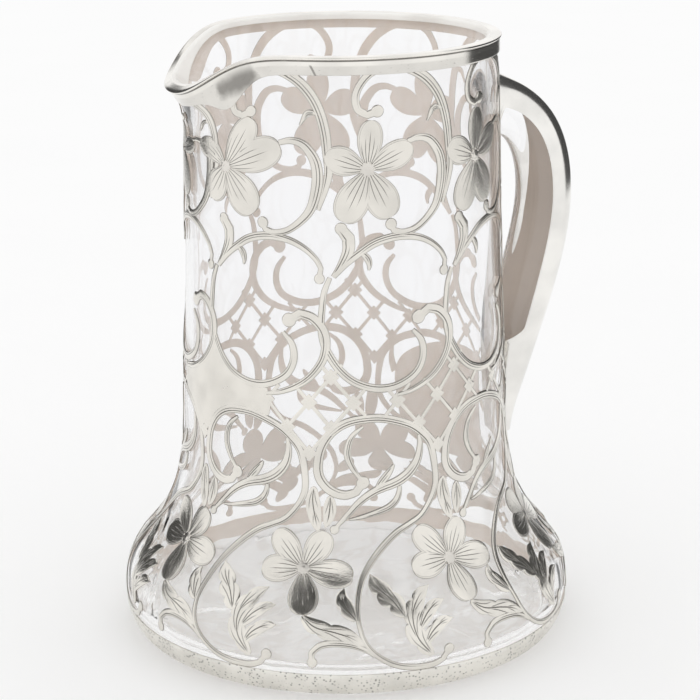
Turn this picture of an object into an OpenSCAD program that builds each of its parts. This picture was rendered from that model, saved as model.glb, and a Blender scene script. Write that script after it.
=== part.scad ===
// Glass jug cased in pierced and engraved silver: a tall neck on a spreading bell, a pulled spout
// and an applied loop handle. The silver follows a drawing that repeats around the glass.
// Frame: +Z up, origin at the centre of the flat underside, handle towards +X, spout towards -X.
// On the real jug the silver is one deposit, so its fields meet edge to edge here.

/* [Glass body] */
// Height of the glass at the rim
glass_h = 225; // [212:1:240]
// Outer radius of the neck at the rim
neck_r = 56.8; // [53:0.2:60]
// Outer radius of the waist, where the neck meets the bell
waist_r = 60.7; // [58.5:0.1:64]
// Height of the waist
waist_z = 90; // [84:1:98]
// Widest outer radius of the bell
bell_r = 84.8; // [78:0.2:92]
// Height of the widest part of the bell
bell_z = 16; // [13:0.5:20]
// Radius of the flat underside
base_r = 74.5; // [68:0.5:76]
// Thickness of the blown wall
wall = 3; // [2.2:0.1:4]
// Thickness of the glass under the cavity
floor_t = 8; // [6:0.5:11]
// How far up the bell keeps near its widest radius
bell_pull = 26; // [20:1:32]
// How far down the waist's line runs into the bell
waist_pull = 60; // [50:1:64]

/* [Spout] */
// How far the tip of the spout stands out past the neck
spout_out = 5.8; // [3:0.2:8]
// How far the tip of the spout drops below the rim
spout_drop = 16; // [8:1:19]
// Half the angle of the pulled lip
spout_half = 33; // [26:1:38]
// Depth of wall that the lip was pulled from
spout_depth = 40; // [34:1:48]

/* [Handle] */
// Height of the handle's upper root
handle_top_z = 197.2; // [190:0.2:202]
// Reach of the handle's centre line from the jug's axis
handle_reach = 78; // [74:0.5:84]
// Height at which the handle reaches furthest
handle_reach_z = 164; // [156:1:172]
// Height of the lower end of the handle
handle_tail_z = 70; // [64:1:80]
// Half the depth of the handle, measured away from the jug
handle_depth = 10.2; // [8:0.2:11.6]
// Half the width of the handle, measured across it
handle_width = 9.4; // [7:0.2:11]
// Bare glass starts this far inside the handle's centre line
handle_bare_in = 1; // [0:0.2:3]

/* [Silver] */
// Thickness of the silver
silver_t = 0.6; // [0.4:0.05:1]
// Gap left between glass and silver
seat_gap = 0.3; // [0.26:0.01:0.36]
// Height of the band below the rim
rim_band = 4.5; // [4:0.25:8]
// How far the rim's bead stands out from the glass
rim_bead = 1.6; // [1.4:0.1:3.2]
// Height of the silver over the edge of the glass
rim_cap = 1.9; // [1.4:0.1:3.2]
// How far the band reaches further down on each side of the spout
rim_apron = 8; // [4:0.5:9]
// How far the silver turns down inside the rim
rim_lap = 0.8; // [0.4:0.1:2]
// How far the silver turns down inside the spout
spout_lap = 4.5; // [2:0.5:6]
// Lower edge of the foot band, as a distance along the glass
foot_band_low = 7; // [5:0.5:9]
// Upper edge of the foot band, as a distance along the glass
foot_band_high = 16.5; // [14:0.5:17]
// Height that round ends, studs and flower centres stand above the rest
boss = 0.25; // [0.15:0.05:0.4]

/* [Pattern] */
// Times that the drawing repeats around the glass
repeats = 8; // [8:1:8]
// Angle of the first repeat's flower from the handle
first_flower = -96; // [-110:1:-80]
// Height of the drawing, which is stretched from the base's edge to the rim
drawing_h = 234; // [225:1:245]
// Scale of every line's breadth
line_scale = 1; // [0.8:0.05:1.15]

/* [Hidden] */

silver_face = "gainsboro";
silver_shade = "silver";
glass_tint = "lightcyan";

cell = 360 / repeats;
lip_span = 2 * spout_half;   // the pull has died away at this angle from the spout
flare_power = 3.5;           // how late the lip turns outward as the wall rises
foot_steps = 6;
bell_steps = 14;
neck_steps = 9;
mouth_parts = 54;            // flat parts round the mouth of the glass and its silver rim
lip_step = 360 / mouth_parts;
lip_parts = ceil(lip_span / lip_step);   // such parts on each half of the pulled lip
mouth_levels = 5;
seam = 0.02;                 // keeps the mouth's flat parts just inside the round wall they stand on
apron_spread = 9;            // angle over which the rim's apron dies away on each side of its deepest place
chord_sag = waist_r * (1 - cos(180 / mouth_parts));
handle_sides = 14;
handle_steps = 9;           // stations on each half of the handle's line
body_facets = 120;           // sides of the round cutters that seat silver on glass

// ---- The glass outline ----

function bezier(p, t) =
    pow(1 - t, 3) * p[0] + 3 * pow(1 - t, 2) * t * p[1] + 3 * (1 - t) * t * t * p[2] + pow(t, 3) * p[3];

foot_line = [for (i = [0:foot_steps]) let (a = 90 * i / foot_steps)
    [base_r + (bell_r - base_r) * sin(a), bell_z * (1 - cos(a))]];
bell_bend = [[bell_r, bell_z], [bell_r, bell_z + bell_pull],
    [waist_r, waist_z - waist_pull], [waist_r, waist_z]];
bell_line = [for (i = [1:bell_steps]) bezier(bell_bend, i / bell_steps)];
neck_line = [for (i = [1:neck_steps]) let (u = i / neck_steps)
    [neck_r + (waist_r - neck_r) * pow(1 - u, 1.4), waist_z + (glass_h - waist_z) * u]];
outer_line = concat(foot_line, bell_line, neck_line);
last = len(outer_line) - 1;

function outer_normal(i) =
    let (t = outer_line[min(i + 1, last)] - outer_line[max(i - 1, 0)])
    [t.y, -t.x] / norm(t);

inner_line = [for (i = [foot_steps:last]) let (p = outer_line[i] - wall * outer_normal(i))
    [p.x, i == last ? glass_h : p.y]];
floor_start = base_r - 14;
floor_line = [for (i = [0:5]) let (a = 90 * i / 6)
    [floor_start + (inner_line[0].x - floor_start) * sin(a),
     floor_t + (inner_line[0].y - floor_t) * (1 - cos(a))]];

// Distance along the outline, from the edge of the flat underside
arc = [for (i = 0, s = 0; i <= last;
    s = s + norm(outer_line[min(i + 1, last)] - outer_line[i]), i = i + 1) s];
glass_arc = arc[last];
arc_to_r = [for (i = [0:last]) [arc[i], outer_line[i].x]];
arc_to_z = [for (i = [0:last]) [arc[i], outer_line[i].y]];
arc_to_nr = [for (i = [0:last]) [arc[i], outer_normal(i).x]];
arc_to_nz = [for (i = [0:last]) [arc[i], outer_normal(i).y]];
z_to_r = [for (i = [foot_steps:last]) [outer_line[i].y, outer_line[i].x]];

function glass_r(z) = lookup(z, z_to_r);

// ---- The pulled spout ----

// Share of the pull at an angle from the spout's axis: 1 on it, 0 from lip_span on
function pull(angle, half) = abs(angle) >= lip_span ? 0 : exp(-pow(abs(angle) / half, 3));
function lip_drop(w) = spout_drop * pull(w, spout_half);
function lip_out(w) = spout_out * pull(w, spout_half + 4);
function lip_slope(w, t) = lip_out(w) * flare_power * pow(t, flare_power - 1) / (spout_depth - lip_drop(w));

// Point of the lip's wall at angle w from the spout, below its edge, lifted off the outer face
function lip_wall(w, below, lift) =
    let (t = max(0, 1 - below / (spout_depth - lip_drop(w))),
         z0 = glass_h - spout_depth * (1 - t),
         k = lip_slope(w, t),
         n = [1, -k] / norm([1, k]))
    [glass_r(z0) + lip_out(w) * pow(t, flare_power), glass_h - lip_drop(w) - below] + lift * n;

// ---- Placing the drawing on the glass ----

// a is in degrees from the repeat's upper flower, s in millimetres up the drawing
function wrap(angle) = ((angle % 360) + 540) % 360 - 180;
function on_arc(s) = s * glass_arc / drawing_h;
function on_glass(a, s, lift) =
    let (q = on_arc(s), phi = a + $turn, w = wrap(phi - 180),
         z0 = lookup(q, arc_to_z),
         t = max(0, (z0 - glass_h + spout_depth) / spout_depth),
         r = lookup(q, arc_to_r) + lip_out(w) * pow(t, flare_power) + lift * lookup(q, arc_to_nr),
         z = z0 - t * lip_drop(w) + lift * lookup(q, arc_to_nz))
    [r * cos(phi), r * sin(phi), z];
function degrees_of(mm, s) = mm / (lookup(on_arc(s), arc_to_r) * PI / 180);
function lift_low(raised = 0) = is_undef($cutting) ? seat_gap + raised * boss / 2 : -0.5;
function lift_high(raised = 0) = seat_gap + silver_t + (is_undef($cutting) ? raised * boss : 1.5);

// A scroll or stem: a strip of silver along path, whose points are [angle, height, breadth]
module strip(path, raised = 0) {
    end = len(path) - 1;
    low = lift_low(raised);
    high = lift_high(raised);
    ring = [for (i = [0:end])
        let (p = path[i], before = path[max(i - 1, 0)], after = path[min(i + 1, end)],
             run = [(after[0] - before[0]) / degrees_of(1, p[1]), after[1] - before[1]],
             side = [-run.y, run.x] / norm(run) * p[2] * line_scale / 2,
             da = degrees_of(side.x, p[1]))
        each [on_glass(p[0] + da, p[1] + side.y, low), on_glass(p[0] + da, p[1] + side.y, high),
              on_glass(p[0] - da, p[1] - side.y, high), on_glass(p[0] - da, p[1] - side.y, low)]];
    sides = [for (i = [0:end - 1], k = [0:3]) let (a = 4 * i + k, b = 4 * i + (k + 1) % 4)
        each [[b, a, b + 4], [b + 4, a, a + 4]]];
    z = 4 * end;
    caps = [[2, 3, 1], [1, 3, 0], [z + 1, z, z + 2], [z + 2, z, z + 3]];
    polyhedron(ring, concat(sides, caps));
}

// Stations that swell a strip into a round end of radius r at c, coming from p
function round_end(p, c, r) =
    let (k = degrees_of(1, c[1]), d = [(c[0] - p[0]) / k, c[1] - p[1]], n = r * d / norm(d))
    [for (q = [[-0.65, 1.5], [0.1, 2], [0.9, 0.9]]) [c[0] + n.x * q[0] * k, c[1] + n.y * q[0], q[1] * r]];

// A scroll that ends in a ball of radius r at c
module scroll(path, c, r, raised = 0) {
    strip(concat(path, round_end(path[len(path) - 1], c, r)), raised);
}

// A flat piece cut to spots, [angle, height] each, laid on the glass. Its faces and its open edges
// run counterclockwise as seen from outside
module sheet(spots, faces, edges) {
    n = len(spots);
    polyhedron(concat([for (p = spots) on_glass(p[0], p[1], lift_high())],
                      [for (p = spots) on_glass(p[0], p[1], lift_low())]),
        concat([for (f = faces) [f[0], f[2], f[1]]], [for (f = faces) [n + f[0], n + f[1], n + f[2]]],
            [for (e = edges) each [[e[0], e[1], n + e[1]], [e[0], n + e[1], n + e[0]]]]));
}

// Outline of a petal from the flower's middle to its tip, w broad at its broadest
function petal(from, to, w) =
    let (s = (from[1] + to[1]) / 2, k = degrees_of(1, s),
         run = [(to[0] - from[0]) / k, to[1] - from[1]], side = [-run.y, run.x] / norm(run) * w / 2)
    [for (q = [[0.18, -0.36], [0.5, -0.96], [0.84, -0.8], [1, 0], [0.84, 0.8], [0.5, 0.96], [0.18, 0.36]])
        let (v = run * q[0] + side * q[1]) [from[0] + v.x * k, from[1] + v.y]];

// A flower of petals given counterclockwise, each as [tip, breadth]
module flower(middle, petals) {
    spots = [for (p = petals) each petal(middle, p[0], p[1])];
    n = len(spots);
    centre = [for (i = [0:len(petals) - 1]) each [7 * i, 7 * i + 6]];
    petal_faces = [[0, 1, 5], [0, 5, 6], [1, 2, 4], [1, 4, 5], [2, 3, 4]];
    faces = concat([for (i = [0:7:n - 1], f = petal_faces) f + [i, i, i]],
        [for (i = [1:len(centre) - 2]) [centre[0], centre[i], centre[i + 1]]]);
    sheet(spots, faces, [for (i = [0:n - 1]) [i, (i + 1) % n]]);
}

// Repeats what is drawn once, around the glass
module around() {
    for (k = [0:repeats - 1]) {
        $turn = first_flower + k * cell;
        $index = k;
        children();
    }
}

// Joins the drawn strips into one smooth surface
module one_piece() {
    resize([0, 0, 0]) children();
}

// Makes the same lines thicker, to cut the field below them
module as_cutter() {
    $cutting = true;
    children();
}

// Filled body of the glass, to cut what grows out of it
module glass_filled(extra) {
    rotate_extrude($fn = body_facets)
        polygon(concat([[0, 0]], [for (i = [0:last]) outer_line[i] + [extra, 0]],
            [[neck_r + extra, glass_h + 20], [0, glass_h + 20]]));
}

// Joins like sections of m points each, set round the axis in order, into one closed ring
module closed_ring(points, m) {
    n = len(points);
    polyhedron(points, [for (i = [0:m:n - 1], k = [0:m - 1])
        let (a = i + k, b = i + (k + 1) % m, on = i + m == n ? -i : m)
        each [[a, b, b + on], [a, b + on, a + on]]]);
}

// ---- Glass ----

// The top of the neck, whose front is pulled out and down into the spout
module glass_mouth() {
    levels = [for (j = [0:mouth_levels]) 1 - pow(1 - j / mouth_levels, 1.5)];
    m = 2 * (mouth_levels + 1);
    function spot(w, t, inset) = let (z0 = glass_h - spout_depth * (1 - t),
        r = glass_r(z0) - inset + lip_out(w) * pow(t, flare_power))
        [r * cos(180 + w), r * sin(180 + w), z0 - t * lip_drop(w)];
    points = [for (i = [0:mouth_parts - 1]) let (w = wrap(360 * i / mouth_parts))
        each concat([for (t = levels) spot(w, t, seam)],
            [for (j = [mouth_levels:-1:0]) spot(w, levels[j], wall - seam - chord_sag)])];
    closed_ring(points, m);
}

module glass_body() {
    color(glass_tint, 0.35)
        union() {
            difference() {
                rotate_extrude($fn = 96)
                    polygon(concat([[0, 0]], outer_line,
                        [for (i = [len(inner_line) - 1:-1:0]) inner_line[i]],
                        [for (i = [5:-1:0]) floor_line[i]], [[0, floor_t]]));
                translate([0, 0, glass_h - spout_depth])
                    cylinder(h = 2 * spout_depth, r = waist_r + 20, $fn = 96);
            }
            glass_mouth();
        }
}

// ---- Handle ----

root_x = glass_r(handle_top_z) - 2;
tail_x = glass_r(handle_tail_z) - 0.5;
upper_bend = [[root_x, handle_top_z], [root_x + 9, handle_top_z],
    [handle_reach, handle_reach_z + 27], [handle_reach, handle_reach_z]];
lower_bend = [[handle_reach, handle_reach_z], [handle_reach, handle_reach_z - 25],
    [tail_x + 1.5, handle_tail_z + 40], [tail_x, handle_tail_z]];
handle_line = concat([for (i = [0:handle_steps - 1]) bezier(upper_bend, i / handle_steps)],
    [for (i = [0:handle_steps]) bezier(lower_bend, i / handle_steps)]);
handle_end = len(handle_line) - 1;

// Share of the full depth and width along the handle, from its upper root to its tail
depth_share = [[0, 1.3], [0.08, 1.04], [0.2, 0.95], [0.5, 1], [0.62, 1.05], [0.75, 1.03],
    [0.88, 0.82], [1, 0.34]];
width_share = [[0, 1.3], [0.08, 1.06], [0.2, 0.95], [0.5, 1], [0.75, 1.04], [0.88, 0.9], [1, 0.42]];

function handle_side(i) =
    let (t = handle_line[min(i + 1, handle_end)] - handle_line[max(i - 1, 0)])
    [-t.y, t.x] / norm(t);

// The handle's solid, grown by extra all round
module handle_bar(extra) {
    points = [for (i = [0:handle_end])
        let (u = i / handle_end, c = handle_line[i], n = handle_side(i),
             d = handle_depth * lookup(u, depth_share) + extra,
             w = handle_width * lookup(u, width_share) + extra)
        each [for (k = [0:handle_sides - 1]) let (f = 360 * k / handle_sides, e = d * cos(f))
            [c.x + n.x * e, w * sin(f), c.y + n.y * e]]];
    m = handle_sides;
    sides = [for (i = [0:handle_end - 1], k = [0:m - 1])
        let (a = m * i + k, b = m * i + (k + 1) % m)
        each [[a, b, b + m], [a, b + m, a + m]]];
    caps = [[for (k = [m - 1:-1:0]) k], [for (k = [0:m - 1]) m * handle_end + k]];
    polyhedron(points, concat(sides, caps));
}

module glass_handle() {
    color(glass_tint, 0.35)
        one_piece()
            difference() {
                handle_bar(0);
                glass_filled(seat_gap);
            }
}

// The strip of bare glass on the inner side of the handle, as seen from its side
bare_start = 2;             // station at which the silver collar of the upper root ends
module bare_glass() {
    edge = [for (i = [bare_start:handle_end]) handle_line[i] + handle_side(i) * handle_bare_in];
    rotate([90, 0, 0])
        linear_extrude(4 * handle_width, center = true)
            polygon(concat([[0, edge[0].y - 6]], [[root_x, edge[0].y - 5]], edge,
                [[root_x, edge[len(edge) - 1].y - 8]], [[0, edge[len(edge) - 1].y - 8]]));
}

module handle_silver() {
    color(silver_face)
        one_piece()
            difference() {
                handle_bar(seat_gap + silver_t);
                handle_bar(seat_gap);
                bare_glass();
                glass_filled(seat_gap);
            }
}

// ---- Rim and foot ----

function rim_at(w, u, v) =
    let (k = lip_slope(w, 1), across = [1, -k] / norm([1, k]), up = [k, 1] / norm([1, k]))
    lip_wall(w, 0, 0) + u * across + v * up;
function band_depth(w) = rim_band + rim_apron * exp(-pow((abs(w) - spout_half - 1) / apron_spread, 2));
function rim_section(w) =
    let (band = band_depth(w),
         lap = rim_lap + spout_lap * pull(w, spout_half - 6),
         out = seat_gap + silver_t, in = -wall - seat_gap)
    [lip_wall(w, band, seat_gap), lip_wall(w, band, out), lip_wall(w, band * 0.6, out),
     rim_at(w, rim_bead * 0.8, -1.5), rim_at(w, rim_bead, 0), rim_at(w, rim_bead * 0.7, rim_cap * 0.8),
     rim_at(w, -wall + 0.3, rim_cap), rim_at(w, in - silver_t, 0.4), lip_wall(w, lap, in - silver_t),
     lip_wall(w, lap, in), rim_at(w, in, seat_gap), rim_at(w, seat_gap, seat_gap),
     lip_wall(w, band * 0.6, seat_gap)];

module rim_mount() {
    color(silver_face)
        closed_ring([for (i = [0:mouth_parts - 1]) let (w = wrap(360 * i / mouth_parts))
            each [for (p = rim_section(w)) [p.x * cos(180 + w), p.x * sin(180 + w), p.y]]],
            len(rim_section(0)));
}

function foot_spot(q, lift) = [lookup(q, arc_to_r) + lift * lookup(q, arc_to_nr),
                               lookup(q, arc_to_z) + lift * lookup(q, arc_to_nz)];
foot_band_section =
    let (n = 5, q = [for (i = [0:n]) on_arc(foot_band_low + (foot_band_high - foot_band_low) * i / n)])
    concat([for (i = [0:n]) foot_spot(q[i], seat_gap + silver_t)],
           [for (i = [n:-1:0]) foot_spot(q[i], seat_gap)]);

module foot_band() {
    color(silver_shade)
        rotate_extrude($fn = 96)
            polygon(foot_band_section);
}

// Wedge of the neck over which the lip is pulled
module lip_room() {
    translate([0, 0, glass_h - spout_depth])
        rotate([0, 0, 180 - lip_parts * lip_step])
            rotate_extrude(angle = 2 * lip_parts * lip_step, $fn = 96)
                square([waist_r + 20, spout_depth + 20]);
}

// What already covers the glass where the drawing runs under it
module covered() {
    rotate_extrude($fn = body_facets)
        polygon(concat([foot_spot(on_arc(foot_band_low), -3)],
            [for (i = [0:5])
                foot_spot(on_arc(foot_band_low + (foot_band_high - foot_band_low) * i / 5), 4)],
            [foot_spot(on_arc(foot_band_high), -3)]));
    difference() {
        rotate_extrude($fn = body_facets)
            translate([0, glass_h - rim_band])
                square([neck_r + 20, rim_band + 20]);
        lip_room();
    }
    for (i = [-lip_parts:lip_parts - 1]) {
        w0 = i * lip_step;
        below = [for (w = [w0, w0 + lip_step])
            glass_h - lip_drop(w) - band_depth(w)];
        polyhedron([for (k = [0:1], r = [neck_r - 10, neck_r + 20], z = [below[k], glass_h + 20])
                let (w = w0 + k * lip_step) [r * cos(180 + w), r * sin(180 + w), z]],
            [[0, 1, 3, 2], [4, 6, 7, 5], [0, 4, 5, 1], [2, 3, 7, 6], [1, 5, 7, 3], [0, 2, 6, 4]]);
    }
    handle_bar(seat_gap + silver_t + 0.05);
}

// ---- Upper field: five-petalled flowers, each in the mouth of a scroll ----

upper_middle = [0.6, 197.4];
upper_petals = [[[2.2, 214.2], 8], [[-13.8, 202.4], 9.4], [[-8, 179.4], 11.4], [[8.6, 180.4], 11.4],
    [[16.6, 204.6], 9]];
// The flower beside the spout is drawn wider, with its middle nearer the spout
wide_index = 7;
wide_middle = [-8.4, 198];
wide_petals = [[[4.6, 214.6], 9], [[-22, 208], 9.5], [[-16, 184], 11], [[5, 182], 12], [[13.6, 205], 9.5]];

module upper_flower() {
    wide = $index == wide_index;
    flower(wide ? wide_middle : upper_middle, wide ? wide_petals : upper_petals);
}

module upper_flowers() {
    color(silver_face)
        one_piece()
            difference() {
                around() upper_flower();
                covered();
            }
}

outer_c = [[28.7, 184.2, 1.4], [31.6, 192, 2.7], [32.2, 200, 3.4], [31.2, 209.6, 3.7], [28, 219.6, 3.8],
    [22.2, 227, 3.7], [14.4, 231.4, 3.3], [6, 231.4, 3], [-0.6, 228, 2.7], [-3.2, 222.6, 2.8],
    [-1.4, 218.4, 2.8]];
inner_c = [[14.6, 206.2, 2], [20.2, 206.9, 2.7], [25.8, 202.8, 3.4], [28.2, 195, 3.9], [26.4, 185.2, 3.4],
    [20.4, 177.8, 2.7], [13.4, 175.4, 2.4]];

module upper_scroll() {
    scroll(outer_c, [2.4, 217.2], 2.2);
    scroll(inner_c, [8.6, 177.4], 2.2);
}

module upper_scrolls() {
    color(silver_shade)
        one_piece()
            difference() {
                around() upper_scroll();
                as_cutter() around() upper_flower();
                covered();
            }
}

// ---- Middle field: calyx leaves and the large rings below the flowers ----

calyx = [[-12, 159.8, 1.6], [-6.6, 167.2, 3.8], [-6, 173.6, 4.4]];
ring_top = [[-10.8, 161.6, 1.8], [-5.4, 166.2, 2.7], [1.2, 170.8, 3], [9.2, 173.2, 2.8], [17.6, 172.6, 2.5],
    [24.8, 169, 2.2], [29.2, 163.8, 1.8]];
ring_line = [[-12.6, 159.6, 1.8], [-15.2, 150.6, 2.3], [-15.4, 140.8, 2.6], [-13, 132.2, 3],
    [-7.2, 124.8, 3], [1, 120.2, 3], [9.8, 120.1, 3], [16.4, 123.9, 2.8], [19.4, 130.2, 2.8],
    [18.6, 136.8, 2.4], [14.6, 140.4, 1.4]];
hook_line = [[9.8, 116.9, 1.4], [19.4, 119.8, 2.4], [26.4, 125.2, 2.8], [30.2, 132.6, 3.1],
    [29.6, 140.2, 3.4], [26, 145.4, 3.6], [21.6, 147, 3.4]];

module middle_scroll() {
    scroll(calyx, [-9, 177.2], 2.1, 0.6);
    scroll(ring_top, [28.7, 159], 1.9);
    strip(ring_line, 0.4);
    scroll(hook_line, [18, 144.2], 2.5);
    strip([[-1.6, 168.4, 1.8], [0.4, 165.6, 2.6], [0.8, 162.4, 0.8]], 0.8);
}

module middle_scrolls() {
    color(silver_face)
        one_piece()
            difference() {
                around() middle_scroll();
                as_cutter() around() {
                    upper_flower();
                    upper_scroll();
                }
                covered();
            }
}

// ---- Lower field: scrolls at the waist, with a leaf spray in each ----

lower_ring = [[23.5, 88, 2.6], [22.2, 95, 2.8], [18.4, 101.4, 2.8], [11.8, 106.4, 2.9], [3.4, 109, 3.2],
    [-5.2, 108.3, 3.2], [-12.4, 103.8, 3.2], [-16.5, 96.6, 3.3], [-16.2, 88.2, 3.6], [-11.4, 82.2, 3.5],
    [-5.6, 82, 3]];
lower_inner = [[-2, 106.2, 1.2], [-5.8, 102.4, 2], [-7.2, 97, 2.6], [-4.6, 89.4, 1.8]];
spray = [[16.8, 102, 1.4], [16.2, 92.2, 3.2], [10.6, 86.2, 3.7], [2.2, 82.8, 3.2], [-5.4, 76.6, 2.3],
    [-9.6, 71.6, 1.6]];
spray_curl = [[9.8, 83, 1.8], [6.6, 76.4, 2.6], [-1.2, 74, 1.8], [-7, 72.4, 1]];

module lower_scroll() {
    scroll(lower_ring, [-2.4, 86], 2.4);
    strip(lower_inner, 0.6);
    scroll(spray, [-11.6, 68.8], 1.7, 0.4);
    strip(spray_curl, 0.9);
    strip([[2.4, 83.6, 1.4], [6, 87.4, 3], [8.2, 91, 0.8]], 0.9);
}

module lower_scrolls() {
    color(silver_face)
        one_piece()
            difference() {
                around() lower_scroll();
                as_cutter() around() middle_scroll();
                as_cutter() back_plate();
                covered();
            }
}

// ---- Trellis between the rings: crossed bars with a stud at each crossing ----

trellis_step = cell / 6;
trellis_rise = 9.3;
trellis_middle = [25, 115];
trellis_bar = 1.4;
stud_reach = 2.7;
// Crossings, as [column, row] from the middle one
crossings = [[0, 0], [2, 0], [-2, 0], [1, 1], [-1, -1], [1, -1], [0, -2]];
// The four ways out of a crossing: up right, up left, down left, down right
ways = [[1, 1], [-1, 1], [-1, -1], [1, -1]];
// Bars from one crossing to another, as [from, way, to]
bars = [[0, 0, 3], [0, 2, 4], [0, 3, 5], [1, 1, 3], [1, 2, 5], [2, 3, 4], [6, 0, 5], [6, 1, 4]];
// Bars that run in under a scroll, as [from, way, share of the way]
stubs = [[0, 1, 0.7], [1, 0, 0.5], [1, 3, 0.6], [2, 0, 0.6], [2, 1, 0.5], [2, 2, 0.7], [3, 0, 0.5],
    [3, 1, 0.5]];

// End of the bar that leaves a crossing, by way and side, t of the way to the next crossing
function bar_end(c, way, side, t) =
    let (spot = trellis_middle + [c.x * trellis_step, c.y * trellis_rise], k = degrees_of(1, spot.y),
         run = [way.x * trellis_step / k, way.y * trellis_rise], d = run / norm(run),
         reach = max(stud_reach, t * norm(run)), p = reach * d + side * trellis_bar / 2 * [-d.y, d.x])
    spot + [p.x * k, p.y];

module trellis_net() {
    stud_spots = [for (c = crossings, way = ways, side = [-1, 1]) bar_end(c, way, side, 0)];
    stub_spots = [for (b = stubs, side = [-1, 1]) bar_end(crossings[b[0]], ways[b[1]], side, b[2])];
    spots = concat(stud_spots, stub_spots);
    first_stub = len(stud_spots);
    // Each bar is [right start, left start, left end, right end]
    links = concat(
        [for (b = bars) let (i = 8 * b[0] + 2 * b[1], j = 8 * b[2] + 2 * ((b[1] + 2) % 4))
            [i, i + 1, j, j + 1]],
        [for (q = [0:len(stubs) - 1]) let (i = 8 * stubs[q][0] + 2 * stubs[q][1], j = first_stub + 2 * q)
            [i, i + 1, j + 1, j]]);
    used = concat([for (b = bars) each [4 * b[0] + b[1], 4 * b[2] + (b[1] + 2) % 4]],
        [for (b = stubs) 4 * b[0] + b[1]]);
    // Open edges of the sheet, each as [from, to] with the silver on its left
    edges = concat(
        [for (c = [0:len(crossings) - 1], w = [0:3]) [8 * c + 2 * w + 1, 8 * c + (2 * w + 2) % 8]],
        [for (c = [0:len(crossings) - 1], w = [0:3]) if (len(search(4 * c + w, used)) == 0)
            [8 * c + 2 * w, 8 * c + 2 * w + 1]],
        [for (l = links) each [[l[0], l[3]], [l[2], l[1]]]],
        [for (q = [0:len(stubs) - 1]) [first_stub + 2 * q, first_stub + 2 * q + 1]]);
    fans = [for (c = [0:len(crossings) - 1], i = [1:6]) [8 * c, 8 * c + i, 8 * c + i + 1]];
    halves = [for (l = links) each [[l[0], l[3], l[2]], [l[0], l[2], l[1]]]];
    sheet(spots, concat(fans, halves), edges);
}

module trellis() {
    color(silver_face)
        one_piece()
            difference() {
                around() trellis_net();
                as_cutter() around() {
                    middle_scroll();
                    lower_scroll();
                }
                as_cutter() panel_shapes();
                covered();
            }
}

// ---- The two plain panels ----

shield_index = 7;
shield_outline = [[-15.4, 138], [-11.2, 129.4], [-4, 122], [9.6, 119], [9.6, 107.6], [-4, 109], [-12, 104.4],
    [-20.6, 96], [-26.6, 102], [-36, 108.2], [-37.2, 117], [-24, 121.6], [-18, 127.4]];
shield_middle = [-14.6, 114];
back_index = 3;
back_outline = [[13, 64], [16, 80], [16, 93], [10, 101], [-4, 106.6], [-20, 108], [-28, 104],
    [-28, 86], [-26, 66], [-17, 58.6], [0, 58]];
back_middle = [-6, 84];

// Halves the sides of an outline that run furthest round the glass, so that none dips into it
longest_side = 8;            // degrees
function halved(outline) = [for (i = [0:len(outline) - 1])
    let (p = outline[i], next = outline[(i + 1) % len(outline)])
    each [p, if (abs(next[0] - p[0]) > longest_side) (p + next) / 2]];

// Splits the fan into rings, so that a broad plate still follows the round of the glass
module plate(corners, middle) {
    outline = halved(corners);
    m = len(outline);
    shares = [1, 0.7, 0.36];
    function spot(p, share) = middle + (p - middle) * share;
    rings = [for (lift = [lift_high(), lift_low()], share = shares, p = outline)
        let (q = spot(p, share)) on_glass(q[0], q[1], lift)];
    hubs = [on_glass(middle[0], middle[1], lift_high()), on_glass(middle[0], middle[1], lift_low())];
    b = 3 * m;
    polyhedron(concat(rings, hubs), [for (i = [0:m - 1]) let (j = (i + 1) % m) each [
        [j, i, m + j], [m + j, i, m + i], [m + j, m + i, 2 * m + j], [2 * m + j, m + i, 2 * m + i],
        [2 * m + j, 2 * m + i, 2 * b],
        [b + i, b + j, b + m + i], [b + m + i, b + j, b + m + j],
        [b + m + i, b + m + j, b + 2 * m + i], [b + 2 * m + i, b + m + j, b + 2 * m + j],
        [b + 2 * m + i, b + 2 * m + j, 2 * b + 1],
        [i, j, b + i], [b + i, j, b + j]]]);
}

module shield_plate() {
    $turn = first_flower + shield_index * cell;
    plate([for (i = [len(shield_outline) - 1:-1:0]) shield_outline[i]], shield_middle);
}

module back_plate() {
    $turn = first_flower + back_index * cell;
    plate(back_outline, back_middle);
}

module panel_shapes() {
    shield_plate();
    back_plate();
}

module shield() {
    color(silver_face)
        one_piece()
            difference() {
                shield_plate();
                as_cutter() around() {
                    middle_scroll();
                    lower_scroll();
                }
            }
}

module back_panel() {
    color(silver_shade)
        one_piece()
            difference() {
                back_plate();
                covered();
            }
}

// ---- Bell: flowers, the long stems, and their leaves ----

lower_middle = [24.3, 54.6];
lower_petals = [[[31.2, 67.8], 9], [[14.4, 67.2], 9], [[11.6, 53.2], 9.4], [[25.8, 37.6], 9.4],
    [[39, 52], 9.4]];

module lower_flower() {
    flower(lower_middle, lower_petals);
}

module lower_flowers() {
    color(silver_face)
        one_piece()
            difference() {
                around() lower_flower();
                as_cutter() back_plate();
                covered();
            }
}

stem_line = [[23.5, 88.4, 2.6], [23.2, 80.8, 2.5], [18.8, 73.8, 2.3], [11.6, 68.8, 2.4], [4, 62.6, 2.5],
    [-1.8, 54.4, 2.3], [-5, 44.6, 2.1], [-5, 35, 1.8], [-3, 26.6, 1.9], [2.2, 20.2, 2.2], [8.6, 18.1, 2.5],
    [14.6, 18.6, 2.4]];

module main_stem() {
    scroll(stem_line, [17.4, 23.4], 2);
}

module main_stems() {
    color(silver_face)
        one_piece()
            difference() {
                around() main_stem();
                as_cutter() around() {
                    lower_flower();
                    lower_scroll();
                }
                as_cutter() back_plate();
                covered();
            }
}

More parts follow.
